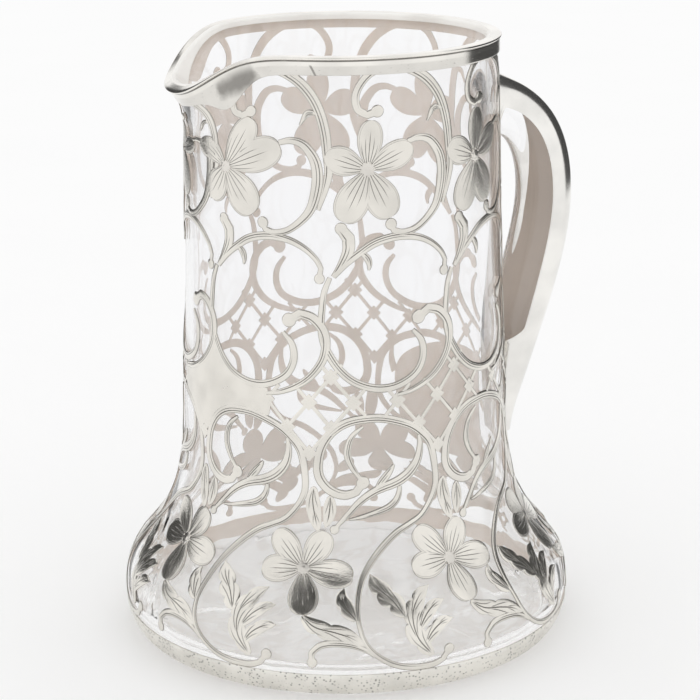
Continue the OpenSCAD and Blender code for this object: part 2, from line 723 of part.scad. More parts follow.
// Furthest that a leaf's stations lie apart up the drawing, so that it keeps to the round of the bell
follow_step = 5;
function followed(path) =
    [for (i = [0:len(path) - 1]) let (p = path[i], next = path[min(i + 1, len(path) - 1)])
        each [p, if (abs(next[1] - p[1]) > follow_step) (p + next) / 2]];
module leaf(path, raised = 0) {
    strip(followed(path), raised);
}

module cell_leaves() {
    leaf([[-18.4, 84.4, 1], [-18.2, 77.6, 3.4], [-16.4, 67.6, 0.6]]);
    leaf([[-13, 81, 1], [-13.4, 76, 2.8], [-14.4, 69.4, 0.6]]);
    leaf([[6.8, 36.2, 0.6], [4, 43, 4.8], [0.4, 48.4, 4.4], [-1.4, 52.6, 0.6]]);
    leaf([[-5.8, 36, 0.6], [-7.8, 42, 5], [-9, 47.2, 0.8]]);
    leaf([[12.8, 22.8, 1.4], [9, 30.6, 2.8], [10.4, 41, 3], [15.4, 46, 0.8]]);
    leaf([[10.2, 32.4, 1.2], [13.2, 38, 2.8], [17.8, 41, 0.8]], 0.5);
    leaf([[11.4, 27, 1.2], [14.2, 32.4, 2.8], [18.8, 34.6, 0.8]], 0.5);
    leaf([[25.6, 37, 1.4], [29.6, 33.4, 3.8], [35.6, 31.4, 3.2], [40.6, 28.6, 1.2]]);
}

module leaves() {
    color(silver_shade)
        one_piece()
            difference() {
                around() cell_leaves();
                as_cutter() around() {
                    lower_flower();
                    lower_scroll();
                    main_stem();
                }
                as_cutter() back_plate();
                covered();
            }
}

foot_arch = [[-1.4, 23.6, 1.4], [-6, 27.2, 2.2], [-11, 28.3, 2.6], [-15.4, 26.4, 2.3]];

module foot_scroll() {
    scroll(foot_arch, [-16.4, 21.6], 1.9);
}

module foot_scrolls() {
    color(silver_shade)
        one_piece()
            difference() {
                around() foot_scroll();
                as_cutter() around() {
                    main_stem();
                    cell_leaves();
                }
                covered();
            }
}

glass_body();
glass_handle();
rim_mount();
handle_silver();
foot_band();
shield();
back_panel();
upper_flowers();
upper_scrolls();
middle_scrolls();
trellis();
lower_scrolls();
lower_flowers();
main_stems();
leaves();
foot_scrolls();
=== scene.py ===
import math

import bpy
import numpy as np
from mathutils import Matrix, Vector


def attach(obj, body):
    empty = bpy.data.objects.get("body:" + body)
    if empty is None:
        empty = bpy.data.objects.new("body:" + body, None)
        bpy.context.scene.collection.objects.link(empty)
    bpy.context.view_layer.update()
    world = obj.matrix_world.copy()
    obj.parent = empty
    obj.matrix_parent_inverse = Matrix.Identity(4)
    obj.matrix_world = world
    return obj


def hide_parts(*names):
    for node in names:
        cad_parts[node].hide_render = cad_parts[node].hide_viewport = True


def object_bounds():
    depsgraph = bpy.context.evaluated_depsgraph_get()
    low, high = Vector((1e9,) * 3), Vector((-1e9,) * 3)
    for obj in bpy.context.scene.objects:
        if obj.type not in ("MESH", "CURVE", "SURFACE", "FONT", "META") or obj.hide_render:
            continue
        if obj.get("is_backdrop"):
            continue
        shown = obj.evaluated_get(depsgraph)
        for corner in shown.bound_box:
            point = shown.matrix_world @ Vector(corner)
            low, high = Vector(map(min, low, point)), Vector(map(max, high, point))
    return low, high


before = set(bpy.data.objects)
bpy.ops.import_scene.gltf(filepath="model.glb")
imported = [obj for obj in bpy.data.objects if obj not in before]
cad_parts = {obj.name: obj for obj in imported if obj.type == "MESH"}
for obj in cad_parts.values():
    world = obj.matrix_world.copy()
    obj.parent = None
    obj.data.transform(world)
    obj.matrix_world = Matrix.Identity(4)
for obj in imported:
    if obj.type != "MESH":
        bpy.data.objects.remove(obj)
cad_low, cad_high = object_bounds()

# ---- The view ----
# The jug is seen from a little above, over its left front side, through a long lens that keeps
# its sides upright. The photograph's right side stands half a degree high.
view_distance = 0.79335
view_azimuth = math.radians(-14)
view_height = 0.3430
view_pitch = math.radians(16.60)
view_roll = -0.0101

bpy.ops.object.select_all(action="DESELECT")
bpy.ops.object.camera_add(location=(
    view_distance * math.sin(view_azimuth), -view_distance * math.cos(view_azimuth), view_height))
camera = bpy.context.object
camera.name = "camera"
camera.rotation_euler = (Matrix.Rotation(view_azimuth, 3, "Z")
                         @ Matrix.Rotation(math.pi / 2 - view_pitch, 3, "X")
                         @ Matrix.Rotation(view_roll, 3, "Z")).to_euler()
camera.data.sensor_width = 36
camera.data.lens = 112.45
camera.data.shift_x = 0.00847
camera.data.clip_end = 40
bpy.context.scene.camera = camera
bpy.context.scene.view_settings.view_transform = "Standard"


# ---- The table and the light ----
# A pale matt table that keeps the jug's soft shadow, in an even white studio. Polished silver shows
# its shape only by what it mirrors, so beyond the white sweep three dark openings of the room are
# left: one high over the lens, and two low down behind the jug, to its left and right. Only a
# mirror sees them, and not through glass.
def new_material(name):
    """An empty node material, with its output"""
    material = bpy.data.materials.new(name)
    material.use_nodes = True
    material.node_tree.nodes.clear()
    return material, material.node_tree.nodes.new("ShaderNodeOutputMaterial")


def node(tree, kind, settings=None, **inputs):
    """Adds a node, with what its named inputs are set or joined to"""
    made = tree.nodes.new("ShaderNode" + kind)
    for key, setting in (settings or {}).items():
        setattr(made, key, setting)
    for key, given in inputs.items():
        name, given = key.replace("_", " "), getattr(given, "socket", given)
        spot = made.inputs[int(name[1:])] if name[0] == "i" and name[1:].isdigit() else made.inputs[name]
        if isinstance(given, bpy.types.NodeSocket):
            tree.links.new(given, spot)
        else:
            spot.default_value = given
    return made


class Value:
    """A number in a node tree, so that what is worked out from it reads as a plain sum"""

    def __init__(self, tree, socket):
        self.tree, self.socket = tree, socket

    def __add__(self, other):
        return maths(self.tree, "ADD", self, other)

    def __sub__(self, other):
        return maths(self.tree, "SUBTRACT", self, other)

    def __rsub__(self, other):
        return maths(self.tree, "SUBTRACT", other, self)

    def __mul__(self, other):
        return maths(self.tree, "MULTIPLY", self, other)

    def __truediv__(self, other):
        return maths(self.tree, "DIVIDE", self, other)

    def __pow__(self, other):
        return maths(self.tree, "POWER", self, other)

    def __abs__(self):
        return maths(self.tree, "ABSOLUTE", self)

    def __round__(self, places=None):
        return maths(self.tree, "ROUND", self)

    def most(self, other):
        return maths(self.tree, "MAXIMUM", self, other)

    def ramp(self, low, high, to_low=0.0, to_high=1.0):
        """Smooth change from one level to another while this runs from low to high"""
        return value(self.tree, "MapRange", "Result", {"interpolation_type": "SMOOTHSTEP"}, Value=self,
                     From_Min=low, From_Max=high, To_Min=to_low, To_Max=to_high)


def value(tree, kind, output, settings=None, **inputs):
    """One output of a new node"""
    return Value(tree, node(tree, kind, settings, **inputs).outputs[output])


def maths(tree, operation, *values):
    return value(tree, "Math", 0, {"operation": operation}, **{f"i{i}": v for i, v in enumerate(values)})


def noise(tree, place, scale, detail, **more):
    return value(tree, "TexNoise", "Fac", Vector=place, Scale=scale, Detail=detail, **more)


def object_place(tree):
    return node(tree, "TexCoord").outputs["Object"]


bpy.ops.object.select_all(action="DESELECT")
bpy.ops.mesh.primitive_plane_add(size=30)
table = bpy.context.object
table.name = "table"
openings = ((100, 147, -4, 28), (-156, -64, 44, 78), (-3, 56, -4, 46))
opening_darkness = 0.93
sweep_end = (0.8, 1.0)


def dark_openings(tree, direction, soft, level):
    """How light the room is that way. Each opening runs between two azimuths and two elevations,
    in degrees. Without level, those that reach the table darken it whatever the height."""
    x, y, z = [Value(tree, part) for part in node(tree, "SeparateXYZ", Vector=direction).outputs]
    azimuth = maths(tree, "DEGREES", maths(tree, "ARCTAN2", y, x))
    elevation = maths(tree, "DEGREES", maths(tree, "ARCSINE", z))
    light = None
    for first, last, low, high in openings:
        if low > 0 and not level:
            continue
        within = azimuth.ramp(first - soft, first + soft) * azimuth.ramp(last + soft, last - soft)
        if level:
            within = within * (elevation.ramp(low - soft, low + soft)
                               * elevation.ramp(high + soft, high - soft))
        shade = 1.0 - within * opening_darkness
        light = light * shade if light else shade
    return light


def mirrored(tree):
    """1 for a ray that a mirror sends on and that hasn't been through glass"""
    path = node(tree, "LightPath").outputs
    return Value(tree, path["Is Glossy Ray"]) * maths(tree, "LESS_THAN", path["Transmission Depth"], 0.5)


table_finish, output = new_material("pale_table")
tree = table_finish.node_tree
place = object_place(tree)
table_colour = node(tree, "MixRGB", Fac=noise(tree, place, 9.0, 3.0),
                    Color1=(0.965, 0.965, 0.965, 1), Color2=(0.98, 0.98, 0.98, 1))
distance = value(tree, "VectorMath", "Value", {"operation": "LENGTH"}, i0=place)
past_sweep = distance.ramp(*sweep_end) * mirrored(tree)
unlit = past_sweep * (1.0 - dark_openings(tree, place, 4, False))
shown = node(tree, "MixRGB", Fac=unlit, Color1=table_colour.outputs[0], Color2=(0.01, 0.01, 0.01, 1))
paint = node(tree, "BsdfDiffuse", Color=shown.outputs[0])
tree.links.new(paint.outputs[0], output.inputs["Surface"])
table.data.materials.append(table_finish)
table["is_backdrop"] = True

world = bpy.data.worlds.new("studio")
bpy.context.scene.world = world
world.use_nodes = True
tree = world.node_tree
tree.nodes.clear()
light_level = dark_openings(tree, node(tree, "TexCoord").outputs["Generated"], 3, True)
studio = node(tree, "Background", Color=(1, 1, 1, 1), Strength=light_level.most(1.0 - mirrored(tree)))
world_output = tree.nodes.new("ShaderNodeOutputWorld")
tree.links.new(studio.outputs[0], world_output.inputs["Surface"])
world.cycles.sampling_method = "NONE"


# ---- Glass body ----
# Blown from one gather of clear glass: a tall neck that swells into a low bell with a thick floor.
# Its fire-polished lip is pulled out and down into the spout while hot.
MM = 0.001
glass_height = 225
neck_radius = 56.8
waist_radius, waist_height = 60.7, 90
bell_radius, bell_height = 84.8, 16
base_radius = 74.5
wall = 3
floor_thickness = 8
lip_reach, lip_fall, lip_half_angle, lip_depth = 5.8, 16, 33, 40
lip_span = 2 * lip_half_angle
flare_power = 3.5
bell_rise, waist_fall, neck_power = 26, 60, 1.4
flare_margin = 4


def bezier(points, t):
    """Points at t on a cubic curve"""
    p, t = np.array(points, float), np.asarray(t, float)[:, None]
    return (1 - t) ** 3 * p[0] + 3 * (1 - t) ** 2 * t * p[1] + 3 * (1 - t) * t * t * p[2] + t ** 3 * p[3]


def right_of(line):
    """Unit vectors square to a line's run, on its right hand"""
    run = np.gradient(line, axis=0)
    across = np.stack([run[:, 1], -run[:, 0]], 1)
    return across / np.linalg.norm(across, axis=1)[:, None]


quarter = np.linspace(0, math.pi / 2, 15)
foot_line = np.stack([base_radius + (bell_radius - base_radius) * np.sin(quarter),
                      bell_height * (1 - np.cos(quarter))], 1)
bell_line = bezier([[bell_radius, bell_height], [bell_radius, bell_height + bell_rise],
                    [waist_radius, waist_height - waist_fall], [waist_radius, waist_height]],
                   np.linspace(0, 1, 41)[1:])
up_neck = np.linspace(0, 1, 46)[1:]
neck_line = np.stack([neck_radius + (waist_radius - neck_radius) * (1 - up_neck) ** neck_power,
                      waist_height + (glass_height - waist_height) * up_neck], 1)
outline = np.concatenate([foot_line, bell_line, neck_line])
outline_normal = right_of(outline)
outline_arc = np.concatenate([[0], np.cumsum(np.linalg.norm(np.diff(outline, axis=0), axis=1))])


def glass_radius(z):
    """Outer radius of the glass above its widest part"""
    start = len(foot_line) - 1
    return np.interp(z, outline[start:, 1], outline[start:, 0])


def wrap(angle):
    """The same angle in degrees, from -180 to 180"""
    return (np.asarray(angle, float) + 540) % 360 - 180


def pull(angle, half):
    """Share of the lip's pull at an angle from the spout's middle"""
    angle = np.abs(np.asarray(angle, float))
    return np.where(angle >= lip_span, 0, np.exp(-(angle / half) ** 3))


def lip_drop(w):
    return lip_fall * pull(w, lip_half_angle)


def lip_out(w):
    return lip_reach * pull(w, lip_half_angle + flare_margin)


def lip_share(z):
    """How far up the pulled part of the neck a height lies, 1 at the edge"""
    return np.clip((z - glass_height + lip_depth) / lip_depth, 0, None)


def pull_lip(points):
    """Moves points of the round neck to where the hot lip was pulled"""
    x, y, z = points[:, 0], points[:, 1], points[:, 2]
    radius = np.maximum(np.hypot(x, y), 1e-9)
    w = wrap(np.degrees(np.arctan2(y, x)) - 180)
    t = lip_share(z)
    off_axis = radius > 10
    grown = (radius + np.where(off_axis, lip_out(w) * t ** flare_power, 0)) / radius
    return np.stack([x * grown, y * grown, z - t * lip_drop(w)], 1)


def points_of(piece):
    """Its vertices in millimetres"""
    flat = np.empty(3 * len(piece.data.vertices))
    piece.data.vertices.foreach_get("co", flat)
    return flat.reshape(-1, 3) / MM


def set_points(piece, points):
    piece.data.vertices.foreach_set("co", (points * MM).ravel())
    piece.data.update()


def edit_all(piece):
    """Opens a piece in edit mode with everything selected"""
    bpy.ops.object.select_all(action="DESELECT")
    piece.select_set(True)
    bpy.context.view_layer.objects.active = piece
    bpy.ops.object.mode_set(mode="EDIT")
    bpy.ops.mesh.select_all(action="SELECT")


def close_up(piece, merge=1e-6, angle=38):
    """Merges doubles, points the faces outwards and smooths what isn't an edge"""
    edit_all(piece)
    bpy.ops.mesh.remove_doubles(threshold=merge)
    bpy.ops.mesh.delete_loose()
    bpy.ops.mesh.select_all(action="SELECT")
    bpy.ops.mesh.normals_make_consistent(inside=False)
    bpy.ops.object.mode_set(mode="OBJECT")
    bpy.ops.object.shade_smooth_by_angle(angle=math.radians(angle))


def turned(name, section, steps):
    """Spins a section of [radius, height] about the jug's axis"""
    bpy.ops.object.select_all(action="DESELECT")
    bpy.ops.mesh.primitive_circle_add(vertices=len(section), radius=0.01)
    piece = bpy.context.object
    piece.name = name
    set_points(piece, np.stack([section[:, 0], 0 * section[:, 0], section[:, 1]], 1))
    edit_all(piece)
    bpy.ops.mesh.spin(steps=steps, angle=2 * math.pi, center=(0, 0, 0), axis=(0, 0, 1),
                      use_auto_merge=True)
    bpy.ops.object.mode_set(mode="OBJECT")
    close_up(piece)
    return piece


widest = len(foot_line) - 1
cavity = outline[widest:] - wall * outline_normal[widest:]
cavity[-1, 1] = glass_height
floor_rounding = 14
floor_start = base_radius - floor_rounding
floor_curve = np.stack([
    floor_start + (cavity[0, 0] - floor_start) * np.sin(quarter[:-1]),
    floor_thickness + (cavity[0, 1] - floor_thickness) * (1 - np.cos(quarter[:-1]))], 1)
glass_section = np.concatenate([
    [[0, 0]], outline, cavity[::-1], floor_curve[::-1], [[0, floor_thickness]]])
glass_body = turned("glass_body_blown", glass_section, 192)
set_points(glass_body, pull_lip(points_of(glass_body)))


def clear_glass():
    """Clear blown glass: slow waves in its skin, swirls low down where the bell is thick, and a
    faint tint that fades towards the floor"""
    material, output = new_material("clear_glass")
    tree = material.node_tree
    place = object_place(tree)
    low_down = value(tree, "SeparateXYZ", 2, Vector=place).ramp(0.07, 0.02)
    stretched = node(tree, "Mapping", Vector=place, Scale=(38, 38, 11)).outputs[0]
    waves = node(tree, "Bump", Strength=0.35, Distance=0.0006, Height=noise(tree, stretched, 1.0, 1.0))
    uneven = node(tree, "Bump", Strength=low_down * 0.6, Distance=0.0016,
                  Height=noise(tree, place, 26.0, 2.0, Distortion=1.6), Normal=waves.outputs[0])
    tint = node(tree, "MixRGB", Fac=low_down,
                Color1=(0.972, 0.972, 0.978, 1), Color2=(0.994, 0.994, 0.993, 1))
    glass = node(tree, "BsdfPrincipled", Base_Color=tint.outputs[0], Roughness=0.0, IOR=1.5,
                 Transmission_Weight=1.0, Normal=uneven.outputs[0])
    ray = node(tree, "LightPath").outputs
    passed = maths(tree, "MAXIMUM", ray["Is Shadow Ray"], ray["Is Diffuse Ray"])
    clear = node(tree, "BsdfTransparent", Color=(0.99, 0.99, 0.987, 1))
    lit = node(tree, "MixShader", i0=passed, i1=glass.outputs[0], i2=clear.outputs[0])
    tree.links.new(lit.outputs[0], output.inputs["Surface"])
    return material


glass_finish = clear_glass()
glass_body.data.materials.append(glass_finish)
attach(glass_body, "root")
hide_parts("glass_body")

# ---- Glass handle ----
# A thick rod of the same glass, laid on hot at the neck, looped over and drawn down to a tail on
# the waist. Only its inner side is left bare.
handle_steps = 64
handle_sides = 40
upper_root_height, tail_height = 197.2, 70
handle_reach, handle_reach_height = 78, 164
handle_depth, handle_width = 10.2, 9.4
seat_gap, silver_thickness = 0.3, 0.6
root_sunk, tail_sunk = 2, 0.5
root_x = float(glass_radius(upper_root_height)) - root_sunk
tail_x = float(glass_radius(tail_height)) - tail_sunk
root_pull, upper_pull, lower_pull, tail_pull, tail_lean = 9, 27, 25, 40, 1.5
along_curve = np.linspace(0, 1, handle_steps + 1)
handle_line = np.concatenate([
    bezier([[root_x, upper_root_height], [root_x + root_pull, upper_root_height],
            [handle_reach, handle_reach_height + upper_pull], [handle_reach, handle_reach_height]],
           along_curve[:-1]),
    bezier([[handle_reach, handle_reach_height], [handle_reach, handle_reach_height - lower_pull],
            [tail_x + tail_lean, tail_height + tail_pull], [tail_x, tail_height]], along_curve)])
handle_out = -right_of(handle_line)
along_handle = np.linspace(0, 1, len(handle_line))


def eased(u, table):
    """Reads a table of [place, value] with its corners rounded off"""
    reach = 20
    fine = np.linspace(0, 1, 401)
    level = np.interp(fine, *np.array(table).T)
    padded = np.concatenate([np.full(reach, level[0]), level, np.full(reach, level[-1])])
    window = 2 * reach + 1
    level = np.convolve(padded, np.ones(window) / window, "valid")
    return np.interp(u, fine, level)


handle_half_depth = handle_depth * eased(along_handle, [
    [0, 1.3], [0.08, 1.04], [0.2, 0.95], [0.5, 1], [0.62, 1.05], [0.75, 1.03], [0.88, 0.82], [1, 0.34]])
handle_half_width = handle_width * eased(along_handle, [
    [0, 1.3], [0.08, 1.06], [0.2, 0.95], [0.5, 1], [0.75, 1.04], [0.88, 0.9], [1, 0.42]])


def on_handle(i, angle, lift):
    """Points round the handle at station i, angle 0 being its outermost line"""
    e = (handle_half_depth[i] + lift) * np.cos(angle)
    y = (handle_half_width[i] + lift) * np.sin(angle)
    return np.stack([handle_line[i, 0] + handle_out[i, 0] * e, y,
                     handle_line[i, 1] + handle_out[i, 1] * e], -1)


def keep_outside_glass(points, gap):
    """Draws points that lie in the body out to its skin, where the handle is fused on"""
    x, y, z = points[..., 0], points[..., 1], points[..., 2]
    radius = np.hypot(x, y)
    skin = glass_radius(z) + gap
    grown = np.maximum(skin / np.maximum(radius, 1e-6), 1)
    return np.stack([x * grown, y * grown, z], -1)


def grid_faces(rows, columns, loop_rows=False, loop_columns=False, start=0):
    """Four-sided faces over a grid of vertices"""
    faces = []
    for i in range(rows if loop_rows else rows - 1):
        for j in range(columns if loop_columns else columns - 1):
            a, b = i * columns, (i + 1) % rows * columns
            faces.append([start + a + j, start + b + j,
                          start + b + (j + 1) % columns, start + a + (j + 1) % columns])
    return faces


def mesh_piece(name, points, faces, materials=(), face_material=None):
    """A new object of these points in millimetres"""
    mesh = bpy.data.meshes.new(name)
    mesh.from_pydata((np.asarray(points).reshape(-1, 3) * MM).tolist(), [], faces)
    piece = bpy.data.objects.new(name, mesh)
    bpy.context.collection.objects.link(piece)
    for material in materials:
        mesh.materials.append(material)
    if face_material is not None:
        mesh.polygons.foreach_set("material_index", np.array(face_material, np.int32))
    return piece


around_handle = np.linspace(0, 2 * math.pi, handle_sides + 1)[:-1]
rod = np.stack([on_handle(i, around_handle, 0) for i in range(len(handle_line))])
rod = keep_outside_glass(rod, seat_gap)
rod_faces = grid_faces(len(handle_line), handle_sides, loop_columns=True)
rod_faces += [list(range(handle_sides)), list(range(len(rod_faces), len(rod_faces) + handle_sides))]
glass_handle = mesh_piece("glass_handle_rod", rod, rod_faces, [glass_finish])
close_up(glass_handle, 1e-5, 50)
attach(glass_handle, "root")
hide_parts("glass_handle")

# ---- Rim mount ----
# The silver that caps the lip: a thin bright bead rolled over the edge, a plain band below it outside, and
# a narrow turn-down inside. It follows the lip down into the spout, where the band widens to an apron on
# each side, with a dark reflection painted on it under the pull of the lip.
rim_steps = 240
rim_band, rim_bead, rim_cap, rim_apron, apron_spread = 4.5, 1.6, 1.9, 8, 9
rim_lap, spout_lap, lap_margin = 0.8, 4.5, -6
edge_round, groove_height, corner_share = 0.2, 0.55, 0.16
against_glass, inside_lip = 1, 2


def lip_frame(w, below):
    """Point of the lip's outer wall below its edge, with the directions across and up it"""
    drop, out = float(lip_drop(w)), float(lip_out(w))
    t = max(0, 1 - below / (lip_depth - drop))
    slope = out * flare_power * t ** (flare_power - 1) / (lip_depth - drop)
    radius = float(glass_radius(glass_height - lip_depth * (1 - t))) + out * t ** flare_power
    length = math.hypot(1, slope)
    spot = np.array([radius, glass_height - drop - below])
    return spot, np.array([1, -slope]) / length, np.array([slope, 1]) / length


def band_depth(w):
    return rim_band + rim_apron * np.exp(-((np.abs(w) - lip_half_angle - 1) / apron_spread) ** 2)


def rim_section(w):
    """The rim's section at an angle from the spout, each corner as radius, height, whether it lies
    against the glass, in the groove or inside the lip, and how far below the edge it is"""
    band = float(band_depth(w))
    lap = rim_lap + spout_lap * float(pull(w, lip_half_angle + lap_margin))
    outer, inner = seat_gap + silver_thickness, -wall - seat_gap

    def at_wall(below, lift, hidden=0, groove=0, lapped=0):
        spot, across, _ = lip_frame(w, below)
        return np.array([*(spot + lift * across), hidden, groove, lapped, below])

    def at_edge(u, v, hidden=0, groove=0, lapped=0):
        spot, across, up = lip_frame(w, 0)
        return np.array([*(spot + u * across + v * up), hidden, groove, lapped, 0])

    corners = [
        at_wall(band, seat_gap, hidden=1), at_wall(band, outer - edge_round),
        at_wall(band * 0.94, outer), at_wall(band * 0.5, outer),
        at_edge(outer, -edge_round), at_edge(outer - 0.05, groove_height, groove=1),
        at_edge(rim_bead * 0.8, 0.85), at_edge(rim_bead * 0.95, 1.2),
        at_edge(rim_bead * 0.85, rim_cap * 0.86), at_edge(rim_bead * 0.3, rim_cap),
        at_edge(-wall + 0.4, rim_cap, lapped=0.5),
        at_edge(inner - silver_thickness, rim_cap * 0.6, lapped=1),
        at_wall(lap, inner - silver_thickness, lapped=1), at_wall(lap, inner, lapped=1),
        at_edge(inner, seat_gap, hidden=1), at_edge(seat_gap, seat_gap, hidden=1),
        at_wall(band * 0.6, seat_gap, hidden=1)]
    for _ in range(2):
        corners = [corner for a, b in zip(corners, corners[1:] + corners[:1])
                   for corner in ((1 - corner_share) * a + corner_share * b,
                                  corner_share * a + (1 - corner_share) * b)]
    return corners


rim_points = []
for w in wrap(360 * np.arange(rim_steps) / rim_steps):
    turn = math.radians(180 + w)
    rim_points += [[p[0] * math.cos(turn), p[0] * math.sin(turn), *p[1:], w] for p in rim_section(w)]
rim_points = np.array(rim_points)
rim_columns = len(rim_points) // rim_steps
rim_faces = grid_faces(rim_steps, rim_columns, loop_rows=True, loop_columns=True)
rim_sides = rim_points[np.array(rim_faces)].mean(1)
rim_slots = np.where(rim_sides[:, 3] > 0.5, against_glass, np.where(rim_sides[:, 5] > 0.55, inside_lip, 0))
rim_mount = mesh_piece("rim_mount_bead", rim_points[:, :3], rim_faces, (), rim_slots)
for title, column in (("groove", 4), ("below", 6), ("around", 7)):
    layer = rim_mount.data.attributes.new(title, "FLOAT", "POINT")
    layer.data.foreach_set("value", rim_points[:, column].astype(np.float32))
close_up(rim_mount, 1e-6, 60)


def group(name, inputs, outputs):
    """A node group with named sockets, as (tree, input node, output node)"""
    tree = bpy.data.node_groups.new(name, "ShaderNodeTree")
    for title, kind, value in inputs:
        made = tree.interface.new_socket(title, in_out="INPUT", socket_type="NodeSocket" + kind)
        if value is not None:
            made.default_value = value
    for title, kind in outputs:
        tree.interface.new_socket(title, in_out="OUTPUT", socket_type="NodeSocket" + kind)
    return tree, tree.nodes.new("NodeGroupInput"), tree.nodes.new("NodeGroupOutput")


# Hand burnishing: cloudy changes of tone, fine rubbing marks and small pits, in the object's space.
burnish, given, result = group(
    "burnish",
    [("Colour", "Color", (0.8, 0.78, 0.74, 1)), ("Roughness", "Float", 0.3), ("Depth", "Float", 0.3)],
    [("Colour", "Color"), ("Roughness", "Float"), ("Normal", "Vector")])
clouds = noise(burnish, object_place(burnish), 70.0, 4.0)
shaded = node(burnish, "VectorMath", {"operation": "SCALE"}, i0=given.outputs["Colour"],
              Scale=clouds.ramp(0.3, 0.7, 0.9, 1.04))
rougher = Value(burnish, given.outputs["Roughness"]) * clouds.ramp(0.35, 0.65, 1.25, 0.8)
pits = node(burnish, "Bump", Strength=given.outputs["Depth"], Distance=0.00008,
            Height=noise(burnish, object_place(burnish), 1500.0, 2.0))
burnish.links.new(shaded.outputs[0], result.inputs["Colour"])
burnish.links.new(rougher.socket, result.inputs["Roughness"])
burnish.links.new(pits.outputs[0], result.inputs["Normal"])


def silver(name, colour, roughness, depth, add_marks=None):
    """Silver in one finish, with what add_marks cuts into it: a share that darkens and a height"""
    material, output = new_material(name)
    tree = material.node_tree
    base = node(tree, "Group", {"node_tree": burnish},
                Colour=(*colour, 1), Roughness=roughness, Depth=depth)
    shown, relief = base.outputs["Colour"], base.outputs["Normal"]
    if add_marks:
        dark, height = add_marks(tree)
        cut = node(tree, "MixRGB", Fac=dark, Color1=shown, Color2=(0.10, 0.092, 0.082, 1))
        shown = cut.outputs[0]
        cuts = node(tree, "Bump", Strength=0.8, Distance=0.0002, Height=height, Normal=relief)
        relief = cuts.outputs[0]
    metal = node(tree, "BsdfPrincipled", Base_Color=shown, Metallic=1.0,
                 Roughness=base.outputs["Roughness"], Normal=relief)
    tree.links.new(metal.outputs[0], output.inputs["Surface"])
    return material


def underside(name, colour):
    """The side of the deposit that lies against the glass, matt and warm grey with cloudy stains"""
    material, output = new_material(name)
    tree = material.node_tree
    stains = noise(tree, object_place(tree), 45.0, 5.0)
    shown = node(tree, "MixRGB", Fac=stains.ramp(0.35, 0.75, 0.0, 0.2),
                 Color1=(*colour, 1), Color2=(0.42, 0.36, 0.31, 1))
    relief = node(tree, "Bump", Strength=0.3, Distance=0.0001, Height=stains)
    matt = node(tree, "BsdfPrincipled", Base_Color=shown.outputs[0], Roughness=0.75,
                Normal=relief.outputs[0])
    tree.links.new(matt.outputs[0], output.inputs["Surface"])
    return material


def rim_marks_and_painted_shade(tree):
    """Painted shade in the groove under the bead, a painted dark reflection on each apron over a faint
    painted shade on the band below the bead, fine scratches along it, and its seam; angles from the spout
    in degrees, depths in millimetres"""
    apron_reflection_angle, apron_reflection_depth, seam_angle = 38.5, 5.0, 65.0
    groove, below, around = [value(tree, "Attribute", "Fac", {"attribute_name": name})
                             for name in ("groove", "below", "around")]
    cloud = noise(tree, object_place(tree), 140.0, 4.0)
    # Painted shade: the groove under the bead is darkened, in clouds, for the shade under the bead.
    line = groove.ramp(0.25, 0.8) * cloud.ramp(0.2, 0.5, 0.75, 1.0)
    # Painted dark reflection on each apron, about 38.5 degrees from the spout's middle and 5 mm below the
    # edge, with a cloudy outline.
    aside = (abs(around) - apron_reflection_angle) * 0.11 + (cloud - 0.5) * 2.2
    distance = maths(tree, "SQRT", aside ** 2.0 + ((below - apron_reflection_depth) * 0.2) ** 2.0)
    # Painted shade: the band below the bead is darkened a little in clouds, so that the bead's top stays
    # lighter.
    band_painted_shade = below.ramp(0.8, 1.6) * cloud.ramp(0.35, 0.75, 0.1, 0.24)
    apron_painted_reflection = (distance.ramp(1.3, 0.3) * 0.72).most(band_painted_shade)
    stretched = node(tree, "CombineXYZ", X=around * 0.5, Y=below * 3.2).outputs[0]
    scratch = noise(tree, stretched, 1.0, 2.0).ramp(0.66, 0.74) * 0.55 * below.ramp(0.9, 1.3)
    seam = abs(around - (below * 0.5 + seam_angle)).ramp(0.7, 0.2) * below.ramp(0.5, 1.4)
    dark = (line * 0.9).most(apron_painted_reflection).most(scratch.most(seam * 0.7))
    return dark, line.most(scratch) * -0.3


silver_underside = underside("silver_underside", (0.84, 0.75, 0.68))
rim_silver = silver("rim_silver", (0.90, 0.875, 0.825), 0.14, 0.15, rim_marks_and_painted_shade)
# Painted highlight: the inside turn-down is a near-white matt finish that stands in for the bright
# highlight of polished silver there.
lap_painted_highlight = underside("lap_painted_highlight", (0.93, 0.915, 0.885))
for material in (rim_silver, silver_underside, lap_painted_highlight):
    rim_mount.data.materials.append(material)
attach(rim_mount, "root")
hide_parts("rim_mount")

# ---- Foot band ----
# The narrow silver band round the lower edge of the bell. Its ground is stippled all over with a
# punch, so it stays matt between the bright scrolls.
foot_low, foot_high = 7, 16.5
drawing_height = 234
glass_arc = outline_arc[-1]


def skin_at(q):
    """The outline at arc length q: radius, height and the two parts of its normal"""
    return [np.interp(q, outline_arc, column) for column in (*outline.T, *outline_normal.T)]


def beside_glass(q, lift):
    """Point beside the outline at arc length q, as [radius, height]"""
    radius, z, out, up = skin_at(q)
    return np.stack([radius + lift * out, z + lift * up], -1)


up_band = np.linspace(foot_low, foot_high, 13) * glass_arc / drawing_height
soft_edge = 0.25
crown = seat_gap + silver_thickness - sum(
    soft_edge * np.exp(-((up_band - end) / soft_edge) ** 2) for end in (up_band[0], up_band[-1]))
foot_band = turned("foot_band_stippled", np.concatenate([
    beside_glass(up_band, crown), beside_glass(up_band[::-1], seat_gap)]), 256)


